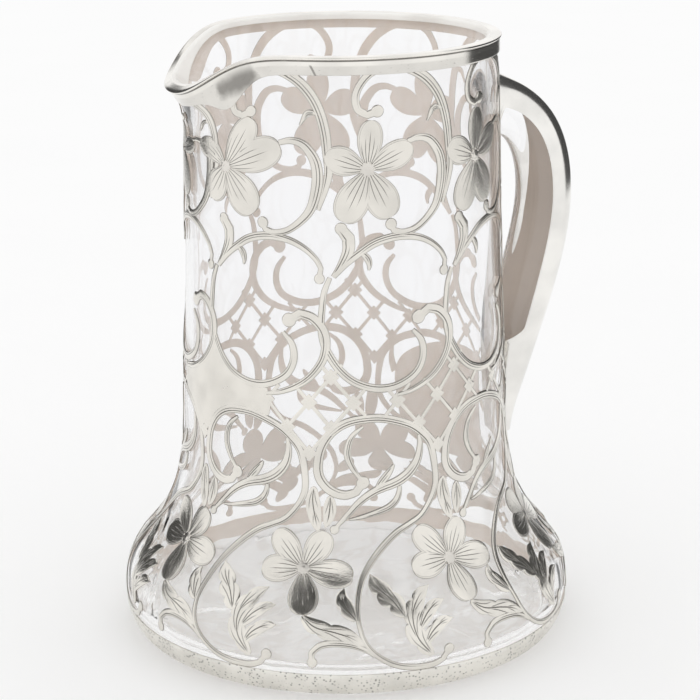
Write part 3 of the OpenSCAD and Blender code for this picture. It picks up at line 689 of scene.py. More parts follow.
def punch_marks(tree):
    """Small round punch marks, close together, worn away in places"""
    place = object_place(tree)
    dots = value(tree, "TexVoronoi", "Distance", Vector=place, Scale=760.0)
    deep = dots.ramp(0.38, 0.12) * noise(tree, place, 260.0, 3.0).ramp(0.36, 0.54)
    return deep * 0.75, deep * -0.6


for material in (silver("stippled_silver", (0.86, 0.84, 0.79), 0.45, 0.5, punch_marks), silver_underside):
    foot_band.data.materials.append(material)
centres = np.array([face.center for face in foot_band.data.polygons]) / MM
skin = beside_glass(up_band, seat_gap + 0.15)
inside = np.hypot(centres[:, 0], centres[:, 1]) < np.interp(centres[:, 2], skin[:, 1], skin[:, 0])
foot_band.data.polygons.foreach_set("material_index", inside.astype(np.int32))
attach(foot_band, "root")
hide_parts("foot_band")

# ---- Handle silver ----
# The deposit over the handle: it wraps the root and the tail, and between them covers the outer
# half only, ending in a raised bright edge on each side.
covered_half = math.acos(1 / handle_depth)
seam, shell_thinning = 0.02, 0.06
silver_angles = np.linspace(-1, 1, 41)


def smooth_step(x, low, high):
    t = np.clip((np.asarray(x, float) - low) / (high - low), 0, 1)
    return t * t * (3 - 2 * t)


neck_wrap_end, tail_wrap = 0.07, (0.80, 0.88)
edge_bead, edge_width, whole_wrap = 0.35, 0.045, 2.6
reach = covered_half + (math.pi - seam - covered_half) * (
    1 - smooth_step(along_handle, 0.0, neck_wrap_end) + smooth_step(along_handle, *tail_wrap))
shell_out, shell_in = [], []
for i in range(len(handle_line)):
    bead = edge_bead * np.exp(-((1 - np.abs(silver_angles)) / edge_width) ** 2) * (reach[i] < whole_wrap)
    angle = silver_angles * reach[i]
    shell_out.append(on_handle(i, angle, seat_gap + silver_thickness - shell_thinning + bead))
    shell_in.append(on_handle(i, angle, seat_gap))
shell = np.concatenate([np.stack(shell_out), np.stack(shell_in)[:, ::-1]], 1)
shell = keep_outside_glass(shell, seat_gap)
columns = shell.shape[1]
half = columns // 2
shell_faces = grid_faces(len(handle_line), columns, loop_columns=True)
under = [half <= j < columns - 1 for _ in range(len(handle_line) - 1) for j in range(columns)]
for first in (0, (len(handle_line) - 1) * columns):
    last = first + columns - 1
    shell_faces += [[first + j, first + j + 1, last - 1 - j, last - j] for j in range(half - 1)]
    under += [True] * (half - 1)
handle_face = silver("handle_silver", (0.88, 0.865, 0.83), 0.15, 0.2)
# Painted shade: the handle's underside is a darker copy of the deposit's underside colour, standing in for
# the shade inside the handle.
handle_underside_painted_shade = underside("handle_underside_painted_shade", (0.66, 0.57, 0.50))
handle_silver = mesh_piece("handle_silver_shell", shell, shell_faces,
                           [handle_face, handle_underside_painted_shade], under)
close_up(handle_silver, 1e-6, 45)
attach(handle_silver, "root")
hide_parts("handle_silver")

# ---- Upper flowers ----
# Eight five-petalled flowers round the neck, sawn from the silver and cut by hand: fine lines
# fan out from a dotted centre up each petal. The one by the spout is drawn wider.
repeats = 8
cell = 360 / repeats
first_flower = -96
turns = [first_flower + k * cell for k in range(repeats)]
wide_turn, back_turn = turns[7], turns[3]
level_step = 0.012
plate_thickness = 0.42


def on_glass(a, s, lift, turn):
    """Places the flat drawing on the glass: a in degrees, s in millimetres up the drawing"""
    a, s = np.broadcast_arrays(np.asarray(a, float), np.asarray(s, float))
    phi = a + turn
    w = wrap(phi - 180)
    radius, z, out, up = skin_at(s * glass_arc / drawing_height)
    t = lip_share(z)
    radius = radius + lip_out(w) * t ** flare_power + lift * out
    z = z - t * lip_drop(w) + lift * up
    turn_to = np.radians(phi)
    return np.stack([radius * np.cos(turn_to), radius * np.sin(turn_to), z], -1)


def degrees_of(millimetres, s):
    """Angle that a length takes up round the glass at height s of the drawing"""
    return millimetres / (skin_at(np.asarray(s, float) * glass_arc / drawing_height)[0] * math.pi / 180)


def in_handle(points):
    """Which points lie within the handle's silver"""
    found = np.zeros(len(points), bool)
    margin, beside = silver_thickness + seat_gap + 0.2, 2.5
    on_handle_side = (points[:, 0] > 40) & (np.abs(points[:, 1]) < 14)
    for p in np.flatnonzero(on_handle_side):
        x, y, z = points[p]
        i = int(np.argmin(np.hypot(handle_line[:, 0] - x, handle_line[:, 1] - z)))
        (dx, dz), (out_x, out_z) = (x - handle_line[i, 0], z - handle_line[i, 1]), handle_out[i]
        within = ((dx * out_x + dz * out_z) / (handle_half_depth[i] + margin)) ** 2 \
            + (y / (handle_half_width[i] + margin)) ** 2
        found[p] = abs(dz * out_x - dx * out_z) < beside and within < 1
    return found


def under_mounts(a, s, lift, turn):
    """Sinks what runs in under the rim band or the foot band into that band's thickness"""
    w = wrap(a + turn - 180)
    z = skin_at(s * glass_arc / drawing_height)[1]
    below = glass_height - lip_drop(w) - (z - lip_share(z) * lip_drop(w))
    rim_margin, foot_margin, sunk = 0.2, 0.3, 0.25
    deep = (below < band_depth(w) + rim_margin) \
        | ((s < foot_high + foot_margin) & (s > foot_low - foot_margin))
    return np.where(deep, np.minimum(lift, seat_gap + sunk), lift)


def together(*parts):
    """Arrays broadcast to one shape and stacked behind one another"""
    return np.stack(np.broadcast_arrays(*parts), -1)


def runs_of(kept):
    """Start and stop of each unbroken run of True"""
    edges = np.flatnonzero(np.diff(np.concatenate([[0], kept.astype(int), [0]])))
    return zip(edges[::2], edges[1::2])


class Field:
    """Gathers the cut shapes of one field of the silver into a single piece. Each place of a shape
    keeps how far it lies along and across, and the shape's length and half breadth there."""

    def __init__(self):
        self.points, self.faces, self.slots, self.drawn = [], [], [], []
        self.count = 0

    def add(self, points, faces, slots, drawn):
        self.points.append(points)
        self.faces += [[self.count + i for i in face] for face in faces]
        self.slots += slots
        self.drawn.append(drawn)
        self.count += len(points)

    def slab(self, a, s, height, level, turn, drawn, under_columns=None):
        """A thin plate over a grid of places, its face lifted by the share height"""
        rows, columns = a.shape
        middle = columns // 2
        covered = in_handle(on_glass(a[:, middle], s[:, middle], 0.6, turn))
        if covered.any():
            for start, stop in runs_of(~covered):
                if stop - start > 2:
                    kept = slice(start, stop)
                    self.slab(a[kept], s[kept], height[kept], level, turn, drawn[kept], under_columns)
            return
        low = seat_gap + level_step * level
        pick = np.arange(columns) if under_columns is None else np.array(under_columns)
        top = on_glass(a, s, under_mounts(a, s, low + plate_thickness * height, turn), turn)
        a, s = a[:, pick], s[:, pick]
        bottom = on_glass(a, s, under_mounts(a, s, low, turn), turn)
        n, m = rows * columns, len(pick)
        faces = grid_faces(rows, columns)
        slots = [0] * len(faces) + [1] * (rows - 1) * (m - 1)
        faces += [face[::-1] for face in grid_faces(rows, m, start=n)]
        for i in range(rows - 1):
            for j, k in ((0, 0), (columns - 1, m - 1)):
                faces.append([i * columns + j, (i + 1) * columns + j, n + (i + 1) * m + k, n + i * m + k])
        for i in (0, rows - 1):
            faces.append([i * columns + j for j in range(columns)]
                         + [n + i * m + k for k in range(m - 1, -1, -1)])
        slots += [2] * (len(faces) - len(slots))
        self.add(np.concatenate([top.reshape(-1, 3), bottom.reshape(-1, 3)]), faces, slots,
                 np.concatenate([drawn.reshape(-1, 4), drawn[:, pick].reshape(-1, 4)]))

    def dome(self, a, s, radius, level, turn, slot=3, lobes=0, sides=20, ring=0.0):
        """A low round boss, or a lobed stud"""
        lift, lobe_bite = 0.5, 0.32
        angle = np.linspace(0, 2 * math.pi, sides + 1)[:-1]
        outline_share = 1 - (lobe_bite * np.abs(np.sin(lobes / 2 * angle)) if lobes else 0 * angle)
        shares = np.array([1.0, 1.0, 0.88, 0.55, 0.3])[:, None]
        lifts = np.array([0.0, 0.6, 0.92, 1.0 - ring, 1.0])[:, None]
        points = on_glass(a + degrees_of(shares * radius * outline_share * np.cos(angle), s),
                          s + shares * radius * outline_share * np.sin(angle),
                          seat_gap + level_step * level + lift * lifts + 0 * angle, turn).reshape(-1, 3)
        if in_handle(points[:1]).any():
            return
        faces = grid_faces(len(shares), sides, loop_columns=True)
        slots = [2] * sides + [slot] * (len(faces) - sides) + [1, slot]
        faces += [list(range(sides)), list(range((len(shares) - 1) * sides, len(shares) * sides))]
        self.add(points, faces, slots, together(shares * radius, angle, radius, radius).reshape(-1, 4))

    def finish(self, name, node_name, face, *more):
        """Makes the piece, with the drawing's own measures as its UV maps"""
        piece = mesh_piece(name, np.concatenate(self.points), self.faces,
                           [face, silver_underside, cut_edge_painted_shade, *more], self.slots)
        corner = np.empty(len(piece.data.loops), np.int32)
        piece.data.loops.foreach_get("vertex_index", corner)
        drawn = np.concatenate(self.drawn)[corner].astype(np.float32)
        for title, measures in (("drawn", drawn[:, :2]), ("extent", drawn[:, 2:])):
            piece.data.uv_layers.new(name=title).data.foreach_set("uv", measures.ravel())
        close_up(piece, 1e-7, 50)
        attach(piece, "root")
        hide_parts(node_name)


def petal_plate(field, middle, tip, breadth, level, turn):
    """One petal, broad and round at its tip, with a crown and a cut hollow along its middle"""
    root_share, widest_share = 0.10, 0.62
    u = root_share + (1 - root_share) * np.sin(np.linspace(0, math.pi / 2, 17))[:, None]
    v = np.linspace(-1, 1, 11)
    swell = np.sin(math.pi / 2 * np.clip((u - root_share) / (widest_share - root_share), 0, 1))
    tip_round = np.sqrt(np.clip(1 - ((u - widest_share) / 0.385) ** 2, 0, 1)) ** 0.8
    half = np.maximum(np.where(u < widest_share, 0.30 + 0.70 * swell, tip_round) * breadth / 2, 0.25)
    per = degrees_of(1, (middle[1] + tip[1]) / 2)
    run = np.array([wrap(tip[0] - middle[0]) / per, tip[1] - middle[1]])
    length = np.linalg.norm(run)
    run /= length
    x = run[0] * length * u - run[1] * half * v
    y = run[1] * length * u + run[0] * half * v
    height = 0.74 + 0.26 * (1 - v ** 2) - 0.22 * np.exp(-(v / 0.16) ** 2) * smooth_step(0.9 - u, 0, 0.5)
    height = np.where(np.abs(v) > 0.99, 0.6, height) + 0.12 * np.exp(-((np.abs(v) - 0.86) / 0.08) ** 2)
    height[-1] = 0.6
    field.slab(middle[0] + x * per, middle[1] + y, height, level, turn,
               together(length * u, half * v, length, half))


def flower(field, middle, petals, level, turn):
    """Petals laid one over the next, round a boss that is ringed with dots"""
    boss_radius, dot_ring, dot_radius, dots = 2.3, 2.35, 0.5, 9
    for i, (tip, breadth) in enumerate(petals):
        petal_plate(field, middle, tip, breadth, level + i % 3, turn)
    a, s = middle
    field.dome(a, s, boss_radius, level + 4, turn, ring=0.35)
    for turn_by in 2 * math.pi * np.arange(dots) / dots:
        x, y = dot_ring * math.cos(turn_by), dot_ring * math.sin(turn_by)
        field.dome(a + float(degrees_of(x, s)), s + y, dot_radius, level + 5, turn, sides=8)


# Engraved lines are told by the drawing's own measures: how far off a line a place lies.
cut_line, given, result = group(
    "cut_line", [("Off", "Float", 0.0), ("Half breadth", "Float", 0.1)], [("Line", "Float")])
gap = abs(Value(cut_line, given.outputs["Off"])) / given.outputs["Half breadth"]
cut_line.links.new(gap.ramp(1.0, 0.35).socket, result.inputs["Line"])


def drawn_measures(tree):
    """Along and across in millimetres, then the shape's length and half breadth there"""
    maps = [node(tree, "SeparateXYZ", Vector=node(tree, "UVMap", {"uv_map": name}).outputs[0])
            for name in ("drawn", "extent")]
    return [Value(tree, measures.outputs[i]) for measures in maps for i in (0, 1)]


def line_at(tree, off, half_breadth):
    return value(tree, "Group", "Line", {"node_tree": cut_line}, Off=off, Half_breadth=half_breadth)


def petal_marks(tree):
    """Five lines that fan from the flower's centre, a fine one inside the edge, and a painted shade along
    the edge
    """
    along, across, length, half = drawn_measures(tree)
    v = across / half
    fan = v * 3.0
    lines = line_at(tree, (fan - round(fan)) * half, 0.38)
    ends = (0.86 - abs(v) * 0.42 - along / length).ramp(0.0, 0.28) * abs(v).ramp(0.85, 0.72)
    edge = half - abs(across)
    # The last term darkens the petal's outer edge as painted shade.
    both = (lines * ends).most(line_at(tree, edge - 0.75, 0.2) * 0.3).most(line_at(tree, edge, 0.4) * 0.5)
    return both * 0.9, both * -1.0


engraved_colour = (0.80, 0.772, 0.715)
# Painted shade: the sawn sides of every cut piece are a dark silver, so that each outline reads as the
# shade along its edge.
cut_edge_painted_shade = silver("cut_edge_painted_shade", (0.36, 0.335, 0.30), 0.45, 0.3)
petal_silver = silver("petal_silver", engraved_colour, 0.2, 0.35, petal_marks)
boss_silver = silver("boss_silver", (0.76, 0.73, 0.68), 0.25, 0.4)
upper_flower = (0.6, 197.4), [
    ((2.2, 214.2), 9), ((-13.8, 202.4), 10.4), ((-8, 179.4), 12), ((8.6, 180.4), 12), ((16.6, 204.6), 10)]
wide_flower = (-7.6, 196), [
    ((4.6, 214.6), 11.5), ((-22, 208), 10.5), ((-16, 184), 12), ((5, 181), 13.5), ((15.4, 205), 12.5)]
field = Field()
for turn in turns:
    flower(field, *(wide_flower if turn == wide_turn else upper_flower), 14, turn)
field.finish("upper_flowers_cut", "upper_flowers", petal_silver, boss_silver)


# ---- Upper scrolls ----
# Each flower sits in the mouth of two C-scrolls that end in leafy balls. They are flat strips
# with a bevelled edge and one or two cut lines that follow the curve.
def smooth_path(points, step=0.85):
    """A smooth line through [angle, height, breadth], at even steps in millimetres"""
    p = np.array(points, float)
    per = degrees_of(1, p[:, 1])
    flat = np.stack([p[:, 0] / per.mean(), p[:, 1]], 1)
    lengths = np.linalg.norm(np.diff(flat, axis=0), axis=1)
    ends = np.concatenate([[2 * p[0] - p[1]], p, [2 * p[-1] - p[-2]]])
    out = []
    for i, length in enumerate(lengths):
        count = max(2, int(round(length / step)))
        t = np.linspace(0, 1, count + 1)[:-1, None]
        a, b, c, d = ends[i], ends[i + 1], ends[i + 2], ends[i + 3]
        out.append(0.5 * (2 * b + (c - a) * t + (2 * a - 5 * b + 4 * c - d) * t ** 2
                          + (3 * b - a - 3 * c + d) * t ** 3))
    return np.concatenate(out + [p[-1:]])


def beside_line(line, across):
    """Places of the drawing so far to the left of each point of a line"""
    per = degrees_of(1, line[:, 1])
    run = np.stack([np.gradient(line[:, 0]) / per, np.gradient(line[:, 1])], 1)
    run /= np.maximum(np.linalg.norm(run, axis=1), 1e-9)[:, None]
    return line[:, :1] - run[:, 1:] * across * per[:, None], line[:, 1:2] + run[:, :1] * across


def scroll_strip(field, points, level, turn, ball=None):
    """A strip along a smooth line; ball is the [angle, height, radius] it ends in"""
    line = smooth_path(points)
    if ball is not None:
        a, s, radius = ball
        per = float(degrees_of(1, s))
        toward = np.array([(a - line[-1, 0]) / per, s - line[-1, 1]])
        toward /= max(np.linalg.norm(toward), 1e-6)
        first = math.asin(min(0.9, max(0.2, line[-1, 2] / 2 / radius)))
        turn_by = np.linspace(first, math.pi * 0.97, 9)
        ends = np.stack([a - toward[0] * per * radius * np.cos(turn_by),
                         s - toward[1] * radius * np.cos(turn_by), 2 * radius * np.sin(turn_by)], 1)
        line = np.concatenate([line, ends])
    half = np.maximum(line[:, 2], 0.3) / 2
    bevel = np.minimum(0.3 * half, 0.4)
    across = np.stack([-half, -half + bevel, -0.25 * half, 0.25 * half, half - bevel, half], 1)
    height = np.broadcast_to(np.array([0.55, 0.93, 1, 1, 0.93, 0.55]), across.shape)
    steps = np.stack([np.diff(line[:, 0]) / degrees_of(1, line[1:, 1]), np.diff(line[:, 1])], 1)
    distance = np.concatenate([[0], np.cumsum(np.linalg.norm(steps, axis=1))])[:, None]
    field.slab(*beside_line(line, across), height, level, turn,
               together(distance, across, distance[-1:], half[:, None]), (0, 5))


def scroll_marks(tree):
    """One long line off the middle of a strip, a short one beside it, and a painted shade along the edge
    """
    along, across, length, half = drawn_measures(tree)
    share = along / length
    first = line_at(tree, across - half * 0.42, 0.2) * (share.ramp(0.03, 0.14) * share.ramp(0.92, 0.78))
    second = line_at(tree, across + half * 0.12, 0.16) * (share.ramp(0.2, 0.3) * share.ramp(0.62, 0.45))
    lines = first.most(second * 0.8) * half.ramp(0.75, 1.1)
    # The edge term darkens the strip's outer edge as painted shade.
    both = lines.most(line_at(tree, half - abs(across), 0.36) * 0.5)
    return both * 0.88, both * -1.0


scroll_silver = silver("scroll_silver", engraved_colour, 0.2, 0.35, scroll_marks)
plain_silver = silver("plain_silver", engraved_colour, 0.22, 0.35)
outer_scroll = [(28.7, 183.4, 1.4), (31.3, 191.3, 2.5), (32.4, 197, 3.1), (31.9, 203.4, 3.4),
                (31.3, 209.7, 3.6), (29.7, 216.3, 3.7), (26.9, 222.2, 3.8), (22.5, 227.2, 3.8),
                (17, 230.5, 3.5), (11.4, 232, 3.2), (6.6, 231.8, 3), (1.8, 230.1, 2.8),
                (-1.7, 226.3, 2.7), (-3.3, 222.2, 2.8), (-2.5, 218, 2.8), (0.7, 216.0, 2.8)]
inner_scroll = [(15, 206.3, 2), (19.4, 207.2, 2.5), (23.7, 205.9, 3.1), (27.3, 201.3, 3.7),
                (28.5, 196.3, 4), (28.1, 190.5, 3.9), (26.1, 183.8, 3.3), (22.5, 179.3, 2.8),
                (17.8, 175.9, 2.5), (13, 174.8, 2.4), (9.6, 175.7, 2.3)]
scroll_thorn = [(29.6, 216.4, 1.0), (25.4, 216.8, 2.2), (22.6, 212.6, 0.8)]
field = Field()
for turn in turns:
    scroll_strip(field, outer_scroll, 10, turn, (4.2, 217.2, 2.2))
    scroll_strip(field, inner_scroll, 11, turn, (8.6, 178.0, 2.1))
    scroll_strip(field, scroll_thorn, 9, turn)
field.finish("upper_scrolls_cut", "upper_scrolls", scroll_silver)

# ---- Middle scrolls ----
# Below the flowers: calyx leaves, the arcs that tie them together, the large rings and the
# hooked scrolls that grip them, each ending in a ball.
calyx_leaf = [(-11.6, 160.2, 1.4), (-8.9, 163.8, 2.8), (-6.3, 169.0, 4.2), (-6.1, 173.6, 4.6)]
tie_arc = [(-11.3, 160.2, 2), (-6.9, 164.9, 2.5), (-2.1, 168.6, 2.8), (2.6, 171.6, 3),
           (8.2, 173.2, 3), (13.8, 173.4, 2.8), (19.4, 172.2, 2.5), (24.1, 169.7, 2.2),
           (27.7, 166.3, 2), (29.4, 163.2, 1.9)]
tie_leaf = [(-1.6, 168.4, 1.8), (0.2, 166.4, 2.6), (0.9, 164.2, 2.0), (0.6, 162.2, 0.8)]
large_ring = [(-12.6, 159.8, 1.8), (-14.5, 154.7, 2.2), (-15.3, 148.7, 2.4), (-15.7, 142.8, 2.6),
              (-14.9, 137, 2.8), (-12.9, 132, 3), (-9.3, 126.6, 3), (-4.5, 122.4, 3),
              (1.8, 120.0, 3), (8.2, 119.9, 3), (13.8, 122, 2.9), (17.8, 125.3, 2.8),
              (19.8, 130.3, 2.8), (19.2, 135.6, 2.5), (16.0, 139.8, 1.6)]
hook_scroll = [(9.8, 116.9, 1.4), (14.8, 118.0, 2), (21, 120.8, 2.5), (25.9, 124.7, 2.8),
               (29.7, 130.3, 3.1), (30.9, 136.2, 3.3), (29.9, 141.2, 3.5), (26.5, 145.3, 3.6),
               (22.2, 146.8, 3.4)]
field = Field()
for turn in turns:
    scroll_strip(field, large_ring, 5, turn)
    scroll_strip(field, hook_scroll, 7, turn, (18.2, 144.2, 2.6))
    scroll_strip(field, tie_arc, 8, turn, (28.9, 159.4, 1.9))
    scroll_strip(field, calyx_leaf, 9, turn, (-8.6, 177.0, 2.2))
    scroll_strip(field, tie_leaf, 7, turn)
field.finish("middle_scrolls_cut", "middle_scrolls", scroll_silver)

# ---- Lower scrolls ----
# At the waist a round scroll holds a spray: a leafy stroke that rises inside it and a second
# strand that curls off it.
lower_ring = [(23.5, 88.4, 2.6), (22.9, 93, 2.8), (21.6, 97.8, 2.8), (18.8, 101.6, 2.9),
              (14.6, 105.2, 3), (8.2, 107.9, 3.1), (1.8, 109.1, 3.2), (-6.1, 108.2, 3.3),
              (-11.7, 104.9, 3.3), (-15.2, 100.0, 3.3), (-16.8, 94.6, 3.4), (-16.8, 88.3, 3.6),
              (-13.5, 83.4, 3.6), (-8.7, 81.3, 3.5), (-4.6, 82.2, 3.1)]
ring_inner = [(-2, 106.2, 1.2), (-5.8, 102.6, 2), (-7.3, 97, 2.6), (-6.3, 92.5, 2.4), (-4.3, 88.9, 1.8)]
spray_stroke = [(17.4, 101.4, 1.3), (17.9, 97.2, 2.4), (16.8, 92.2, 3.3), (13.9, 88.1, 3.8),
                (9.6, 85.2, 3.8), (2.4, 82.6, 3.2), (-3.0, 79.0, 2.7), (-7.1, 74.4, 2.2),
                (-10.2, 70.8, 1.7)]
spray_curl = [(10.2, 83.4, 1.6), (9.4, 79.4, 2.4), (6.4, 76.2, 2.7), (0.8, 74.2, 2.1),
              (-4.7, 72.8, 1.3), (-7, 72.4, 0.8)]
spray_leaf = [(2.4, 83.6, 1.4), (4.6, 86.2, 2.9), (7, 89.2, 2.4), (8.4, 91.6, 0.8)]
shield_outline = [[-15.4, 138], [-11.2, 129.4], [-4, 122], [9.6, 119], [9.6, 107.6], [-4, 109],
                  [-12, 104.4], [-20.6, 96], [-26.6, 102], [-36, 108.2], [-37.2, 117],
                  [-24, 121.6], [-18, 127.4]]
shield_middle = (-14.6, 114)
back_outline = [[13, 64], [16, 80], [16, 93], [10, 101], [-4, 106.6], [-20, 108], [-28, 104],
                [-28, 86], [-26, 66], [-17, 58.6], [0, 58]]
back_middle = (-6, 84)


def inside_outline(a, s, outline_points, outline_turn, turn):
    """Which places of the drawing fall on a plain panel"""
    x = wrap(np.asarray(a, float) + turn - outline_turn)
    y = np.asarray(s, float)
    found = np.zeros(x.shape, bool)
    for (x0, y0), (x1, y1) in zip(outline_points, outline_points[1:] + outline_points[:1]):
        if y0 != y1:
            crosses = (y0 > y) != (y1 > y)
            found ^= crosses & (x < (x1 - x0) * (y - y0) / (y1 - y0) + x0)
    return found


def clear_runs(points, turn, panels):
    """Splits a line where it would run over a plain panel"""
    line = smooth_path(points, 1.0)
    blocked = np.zeros(len(line), bool)
    for panel, panel_turn in panels:
        blocked |= inside_outline(line[:, 0], line[:, 1], panel, panel_turn, turn)
    return [(line[a:b], b == len(line)) for a, b in runs_of(~blocked) if b - a > 3]


back_only = [(back_outline, back_turn)]
both_panels = back_only + [(shield_outline, wide_turn)]


def clear_strip(field, points, level, turn, ball=None, panels=back_only):
    """A strip that stops at the plain panels"""
    for run, whole_end in clear_runs(points, turn, panels):
        kept = run[::3] if (len(run) - 1) % 3 == 0 else np.concatenate([run[::3], run[-1:]])
        if len(kept) > 2:
            scroll_strip(field, kept, level, turn, ball if whole_end else None)


field = Field()
for turn in turns:
    clear_strip(field, lower_ring, 4, turn, (-2.2, 85.6, 2.4))
    clear_strip(field, ring_inner, 5, turn, (-2.6, 86.6, 1.4))
    clear_strip(field, spray_stroke, 6, turn, (-11.6, 68.8, 1.7))
    clear_strip(field, spray_curl, 7, turn)
    clear_strip(field, spray_leaf, 5, turn)
field.finish("lower_scrolls_cut", "lower_scrolls", scroll_silver)

# ---- Trellis ----
# Between the rings the ground is sawn out to a net of thin bars, with a four-lobed stud left
# wherever two bars cross.
trellis_step, trellis_rise = cell / 6, 9.3
trellis_middle = (25, 115)
bar_breadth, stud_radius = 1.35, 3.0
crossings = [(0, 0), (2, 0), (-2, 0), (1, 1), (-1, -1), (1, -1), (0, -2)]
bar_pairs = [(0, 3), (0, 4), (0, 5), (1, 3), (1, 5), (2, 4), (6, 5), (6, 4)]
bar_stubs = [(0, -1, 1, 0.7), (1, 1, 1, 0.5), (1, 1, -1, 0.6), (2, 1, 1, 0.6),
             (2, -1, 1, 0.5), (2, -1, -1, 0.7), (3, 1, 1, 0.5), (3, -1, 1, 0.5)]


def crossing(i):
    return np.array([trellis_middle[0] + crossings[i][0] * trellis_step,
                     trellis_middle[1] + crossings[i][1] * trellis_rise])


field = Field()
for turn in turns:
    bars = [(crossing(i), crossing(j)) for i, j in bar_pairs]
    bars += [(crossing(i), crossing(i) + share * np.array([x * trellis_step, y * trellis_rise]))
             for i, x, y, share in bar_stubs]
    for b, (start, stop) in enumerate(bars):
        bar = [(*(start + (stop - start) * t), bar_breadth) for t in np.linspace(0, 1, 5)]
        clear_strip(field, bar, b % 2, turn, None, both_panels)
    for i in range(len(crossings)):
        a, s = crossing(i)
        if not any(inside_outline(a, s, panel, panel_turn, turn) for panel, panel_turn in both_panels):
            field.dome(a, s, stud_radius, 2, turn, slot=0, lobes=4, sides=32, ring=0.3)
field.finish("trellis_net", "trellis", plain_silver)


# ---- Shield and back panel ----
# Two plain places were left in the drawing: a small shield beside the spout, and a large plate
# at the back, whose smooth underside shows through the glass.
def panel_plate(field, corners, middle, level, turn):
    """A plate with a smooth outline that follows the round of the glass"""
    line = smooth_path([(*p, 1.0) for p in corners[-2:] + corners + corners[:3]], 1.2)
    from_first = np.hypot(line[:, 0] - corners[0][0], line[:, 1] - corners[0][1])
    first = int(np.argmin(from_first))
    ring = line[first:first + 4 + int(np.argmin(from_first[first + 4:])), :2]
    shares = np.array([1.0, 0.985, 0.95, 0.85, 0.7, 0.5, 0.3, 0.12])
    heights = np.array([0.55, 0.9, 1, 1, 1, 1, 1, 1])
    low = seat_gap + level_step * level
    a = middle[0] + (ring[:, 0] - middle[0]) * shares[:, None]
    s = middle[1] + (ring[:, 1] - middle[1]) * shares[:, None]
    n, rows = len(ring), len(shares)
    top = on_glass(a, s, low + plate_thickness * heights[:, None] + 0 * a, turn).reshape(-1, 3)
    bottom = on_glass(a, s, low + 0 * a, turn).reshape(-1, 3)
    faces = grid_faces(rows, n, loop_columns=True)
    slots = [0] * len(faces) + [1] * len(faces) + [2] * n + [0, 1]
    faces += [f[::-1] for f in grid_faces(rows, n, loop_columns=True, start=rows * n)]
    faces += [[i, (i + 1) % n, rows * n + (i + 1) % n, rows * n + i] for i in range(n)]
    faces += [list(range((rows - 1) * n, rows * n)), list(range((2 * rows - 1) * n, 2 * rows * n))]
    no_place, no_size = np.zeros((2 * rows * n, 2)), np.ones((2 * rows * n, 2))
    field.add(np.concatenate([top, bottom]), faces, slots, np.hstack([no_place, no_size]))


field = Field()
panel_plate(field, shield_outline, shield_middle, -1, wide_turn)
field.finish("shield_plate", "shield", plain_silver)
field = Field()
panel_plate(field, back_outline, back_middle, 2, back_turn)
field.finish("back_panel_plate", "back_panel", plain_silver)

# ---- Lower flowers ----
# The same flower again on the slope of the bell, where its petals are bright or dark with what
# the curve mirrors.
lower_middle = (24.3, 54.6)
lower_petals = [((31.2, 67.8), 10), ((14.4, 67.2), 10), ((11.6, 53.2), 10.4), ((25.8, 37.6), 11),
                ((39, 52), 10.8)]
field = Field()
for turn in turns:
    if not inside_outline(*lower_middle, back_outline, back_turn, turn):
        flower(field, lower_middle, lower_petals, 8, turn)
field.finish("lower_flowers_cut", "lower_flowers", petal_silver, boss_silver)

# ---- Main stems ----
# A long stem runs from each waist scroll down the bell, past the flower, and curls up at the
# foot band.
stem = [(23.5, 88.4, 2.6), (23.6, 83.3, 2.5), (22.4, 79.2, 2.4), (19.9, 75, 2.3), (16.8, 71.5, 2.3),
        (12.8, 69.2, 2.4), (8, 66.5, 2.5), (3.2, 61.9, 2.5), (-0.8, 56.5, 2.4), (-3.2, 51.7, 2.3),
        (-4.5, 46.7, 2.2), (-5.2, 40, 2.0), (-4.9, 34.2, 1.8), (-3.6, 28.3, 1.9), (-0.8, 23.5, 2.0),
        (3.2, 19.8, 2.2), (7.6, 18.0, 2.5), (12.4, 17.8, 2.5), (15.6, 19.4, 2.3)]
field = Field()
for turn in turns:
    clear_strip(field, stem, 3, turn, (17.3, 22.8, 2))
field.finish("main_stems_cut", "main_stems", scroll_silver)


# ---- Leaves ----
# Small lobed leaves spring from the stems, each with a cut midrib and a few long slanting veins.
# The largest is the spray of three that rises from the foot, and the pair above each flower is smooth.
def leaf(field, path, breadth, level, turn, lobes, bite):
    """A leaf along a smooth line, cut into round lobes on each side"""
    step = 0.4
    line = smooth_path([(*p, 1.0) for p in path], step)
    if inside_outline(*line[len(line) // 2, :2], back_outline, back_turn, turn):
        return
    share = np.linspace(0, 1, len(line))
    whole = breadth / 2 * (0.12 + 0.95 * np.sin(math.pi * share ** 0.85) ** 0.7)
    taper = np.where(share > 0.9, np.sqrt(np.clip((1.02 - share) / 0.12, 0, 1)), 1)
    halves = []
    for count in lobes:
        lobe = np.abs(np.sin(math.pi * (share ** 0.9) * count)) ** 0.45 if count else 1 + 0 * share
        half = whole * (1 - bite * (1 - lobe) * smooth_step(share, 0.0, 0.2)) * taper
        halves.append(np.maximum(half, 0.2)[:, None])
    v = np.array([-1, -0.8, -0.35, 0, 0.35, 0.8, 1])
    across = np.where(v < 0, *halves) * v
    height = np.broadcast_to(np.array([0.55, 0.92, 1.0, 0.8, 1.0, 0.92, 0.55]), across.shape)
    distance = step * np.arange(len(line))[:, None]
    field.slab(*beside_line(line, across), height, level, turn,
               together(distance, across, distance[-1:], whole[:, None]), (0, 3, 6))


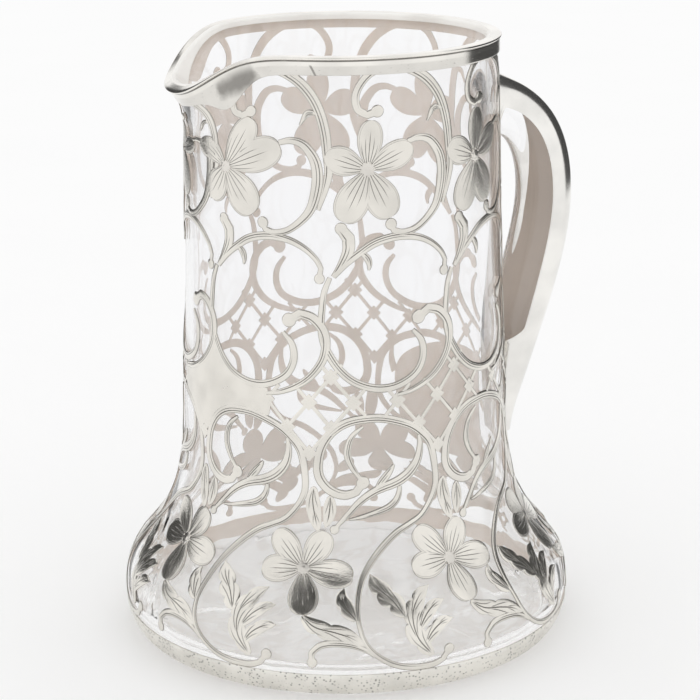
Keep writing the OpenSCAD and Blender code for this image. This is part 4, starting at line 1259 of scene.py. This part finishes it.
def leaf_marks(tree):
    """A midrib, and a few long veins that leave it at a slight slant"""
    vein_step, vein_slant = 8.0, 4.5
    along, across, length, half = drawn_measures(tree)
    off = abs(across)
    slant = (along - off * vein_slant) / vein_step
    vein = line_at(tree, (slant - round(slant)) * vein_step, 1.0)
    vein = vein * ((off / half).ramp(0.7, 0.5) * off.ramp(0.3, 0.6))
    share = along / length
    both = line_at(tree, off, 0.24).most(vein * 0.7) * (share.ramp(0.9, 0.65) * share.ramp(0.02, 0.1))
    return both * 0.85, both * -1.0


leaf_silver = silver("leaf_silver", engraved_colour, 0.2, 0.35, leaf_marks)
leaf_forms = [
    ([(-18.4, 84.2), (-18.8, 79.0), (-17.8, 72.6), (-16.6, 67.6)], 5.0, (0, 0), 0.3),
    ([(-13, 81), (-13.1, 77), (-13.6, 73), (-14.6, 69.4)], 4.4, (0, 0), 0.3),
    ([(6.8, 36.2), (4.2, 42.4), (0.8, 47.6), (-1.2, 52.6)], 7.6, (2, 3), 0.5),
    ([(-5.6, 36), (-8.0, 40.4), (-9.2, 44.4), (-8.6, 47.8)], 5.4, (1, 2), 0.35),
    ([(13, 21.6), (9.4, 28.6), (8.8, 36.2), (11.4, 42.6), (15.2, 46.6)], 7.0, (2, 4), 0.5),
    ([(9.8, 31.0), (12.4, 36.0), (15.4, 39.2), (18.2, 40.4)], 4.6, (0, 2), 0.35),
    ([(11.0, 25.6), (13.2, 29.8), (16.2, 32.6), (19.2, 33.4)], 4.6, (0, 2), 0.35),
    ([(25.6, 37.2), (29.2, 33.6), (34, 32), (38.2, 30), (41.6, 27)], 6.2, (3, 2), 0.45),
]
field = Field()
for turn in turns:
    for i, (path, breadth, lobes, bite) in enumerate(leaf_forms):
        leaf(field, path, breadth, 1 + i % 3 * 0.6, turn, lobes, bite)
field.finish("leaves_cut", "leaves", leaf_silver)

# ---- Foot scrolls ----
# A small arch with a ball end stands on the foot band between each two stems.
foot_arch = [(-1.4, 23.4, 1.4), (-3.4, 25.6, 1.8), (-7.1, 27.7, 2.3), (-11.9, 28.2, 2.6),
             (-15.2, 26.8, 2.4), (-16.6, 24.4, 2.2)]
field = Field()
for turn in turns:
    clear_strip(field, foot_arch, 1, turn, (-16.4, 21.2, 1.9))
field.finish("foot_scrolls_cut", "foot_scrolls", scroll_silver)

low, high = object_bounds()
{"cad": [list(cad_low), list(cad_high)], "visual": [list(low), list(high)]}
